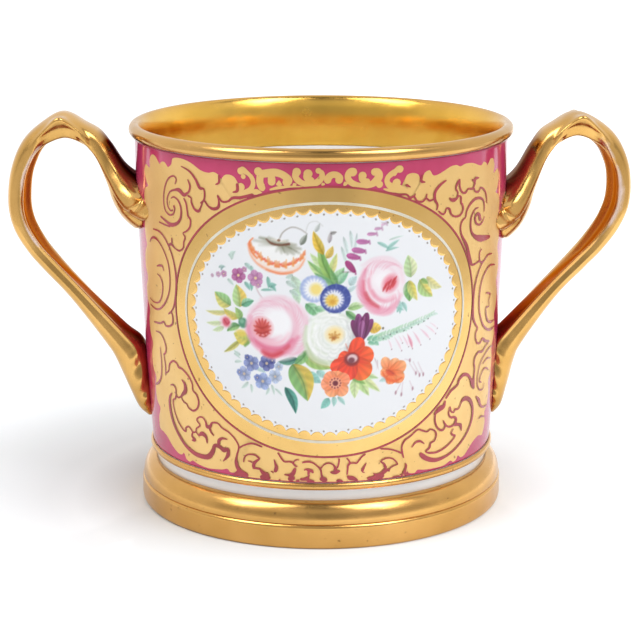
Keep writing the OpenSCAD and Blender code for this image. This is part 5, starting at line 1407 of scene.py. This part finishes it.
white, tree, surface = bare_material("white_floor")
place = tree.nodes.new("ShaderNodeTexCoord").outputs["Object"]
across = tree.nodes.new("ShaderNodeSeparateXYZ")
tree.links.new(place, across.inputs["Vector"])
# Painted shadow: the glow is weaker close round the foot and on the left of the cup.
glow = ranged(tree, across.outputs["X"], *GLOW_ACROSS)
apart = from_axis(tree, place)
for span in GLOW_AWAY:
    glow = maths(tree, "ADD", glow, ranged(tree, apart, *span))
# The matte floor is a little blue, to take out the warm light that the gold throws on it.
matte = tree.nodes.new("ShaderNodeBsdfDiffuse")
matte.inputs["Color"].default_value = (0.77, 0.80, 0.83, 1)
both = tree.nodes.new("ShaderNodeAddShader")
tree.links.new(glowing(tree, maths(tree, "MULTIPLY", background_rays(tree), glow)), both.inputs[0])
tree.links.new(matte.outputs[0], both.inputs[1])
tree.links.new(both.outputs[0], surface)
floor_mesh.materials.append(white)

world = bpy.data.worlds.new("studio")
bpy.context.scene.world = world
world.use_nodes = True
tree = world.node_tree
back = tree.nodes["Background"]
tree.links.new(ranged(tree, background_rays(tree), 0, 1, 0.55, 1.0), back.inputs["Strength"])
back.inputs["Color"].default_value = (1, 1, 1, 1)


def around(turn, lift, away, height):
    """Place at a distance from a point on the axis, at angles in degrees to the right of the front and up."""
    turn, lift = np.radians(turn), np.radians(lift)
    x, y = away * np.sin(turn) * np.cos(lift), -away * np.cos(turn) * np.cos(lift)
    return np.stack(np.broadcast_arrays(x, y, height + away * np.sin(lift)), -1)


def aim(obj, target):
    """Turns an object's -Z towards a point."""
    x, y, z = np.asarray(target) - np.asarray(obj.location)
    obj.rotation_euler = (math.atan2(math.hypot(x, y), -z), 0, math.atan2(y, x) - math.pi / 2)


def softbox(name, turn, lift, away, size, power):
    """Square area lamp aimed at the cup, at angles in degrees to the right of the front and up."""
    lamp = bpy.data.lights.new(name, "AREA")
    lamp.size = size
    lamp.energy = power
    obj = linked(name, lamp)
    obj.location = around(turn, lift, away, AIM_Z)
    aim(obj, (0, 0, AIM_Z))
    return obj


key_light = softbox("key_light", turn=69, lift=26, away=1.25, size=0.7, power=2.2)
key_light.visible_glossy = False
softbox("left_softbox", LEFT_TURN, lift=54, away=1.2, size=0.6, power=5.7)
softbox("right_softbox", RIGHT_TURN, lift=54, away=1.2, size=0.6, power=5.0)
spot = bpy.data.lights.new("mouth_light", "SPOT")
spot.energy = 40
spot.spot_size = math.radians(8)
spot.spot_blend = 1
spot.shadow_soft_size = 0.05
mouth_light = linked("mouth_light", spot)
mouth_light.location = (0, 0.75, 1.0)
mouth_light.visible_glossy = False
aim(mouth_light, (0, -0.02, 0.11))

# The front half of the room, which only shiny surfaces see. The white sweep ends 0.3 m in front of the cup.
# Past it the room is mid grey in front, with a darker belt low down, paler to both sides and dark above. A
# bright screen stands behind each softbox.
# Painted light: the room is a sheet that glows by the tone painted on its points, and is no lamp.
ROOM_R, SWEEP_END, SWEEP_FADE, ROOM_Z = 1.6, 0.30, 0.16, 0.001
TURNS, SWEEP_ROWS, DOME_ROWS = 89, 40, 58
SWEEP_TONE, FRONT_TONE, SIDE_GAIN, TOP_TONE = 0.95, 0.60, 0.25, 0.2
BELT_SHADE, SCREEN_LIGHT = 0.35, 5.0
turn = np.linspace(-110, 110, TURNS)[:, None]
away = np.concatenate([np.linspace(SWEEP_END, ROOM_R, SWEEP_ROWS), np.full(DOME_ROWS, ROOM_R)])[None, :]
lift = np.concatenate([np.zeros(SWEEP_ROWS), np.linspace(1.5, 87, DOME_ROWS)])[None, :]


def eased(value, low, high):
    """Smooth step from 0 at low to 1 at high."""
    k = ramp(value, low, high)
    return k * k * (3 - 2 * k)


aside = np.abs(turn)
front = FRONT_TONE + SIDE_GAIN * eased(aside, 6, 30)
shade = front + (TOP_TONE - front) * eased(lift, 40, 58)
belt = eased(lift, 2, 7) * (1 - eased(lift, 20, 30)) * (1 - eased(aside, 62, 80))
shade = shade * (1 - BELT_SHADE * belt)
screen = SCREEN_LIGHT * eased(lift, 26, 36) * (1 - eased(lift, 62, 72))
for middle in LEFT_TURN, RIGHT_TURN:
    shade = shade + screen * (1 - eased(np.abs(turn - middle), 3, 8))
shade = SWEEP_TONE + (shade - SWEEP_TONE) * eased(away, SWEEP_END, SWEEP_END + SWEEP_FADE)
shade = shade + (1 - shade) * eased(aside, 84, 108)
room_points = around(turn, lift, away, ROOM_Z).reshape(-1, 3)
room_mesh = bpy.data.meshes.new("room")
room_mesh.from_pydata(room_points.tolist(), [], grid_faces(TURNS, SWEEP_ROWS + DOME_ROWS).tolist())
layer = room_mesh.color_attributes.new("paint", "FLOAT_COLOR", "POINT")
layer.data.foreach_set("color", np.repeat(shade.ravel(), 4).astype(np.float32))
room_paint, tree, surface = bare_material("room")
tree.links.new(glowing(tree, paint_on(tree)["Fac"]), surface)
room_mesh.materials.append(room_paint)
room = linked("room", room_mesh)
room.visible_camera = False
room.visible_diffuse = False
room.visible_shadow = False

CAMERA_TURN, CAMERA_LIFT, CAMERA_AWAY, CAMERA_AIM_Z = -1.7, 13.82, 0.6696, 0.05806
camera = bpy.data.cameras.new("camera")
camera.sensor_width = 36
camera.lens = 114.7
camera.shift_x = -0.002
eye = linked("camera", camera)
eye.location = around(CAMERA_TURN, CAMERA_LIFT, CAMERA_AWAY, CAMERA_AIM_Z)
aim(eye, (0, 0, CAMERA_AIM_Z))
bpy.context.scene.camera = eye
bpy.context.scene.view_settings.view_transform = "Standard"
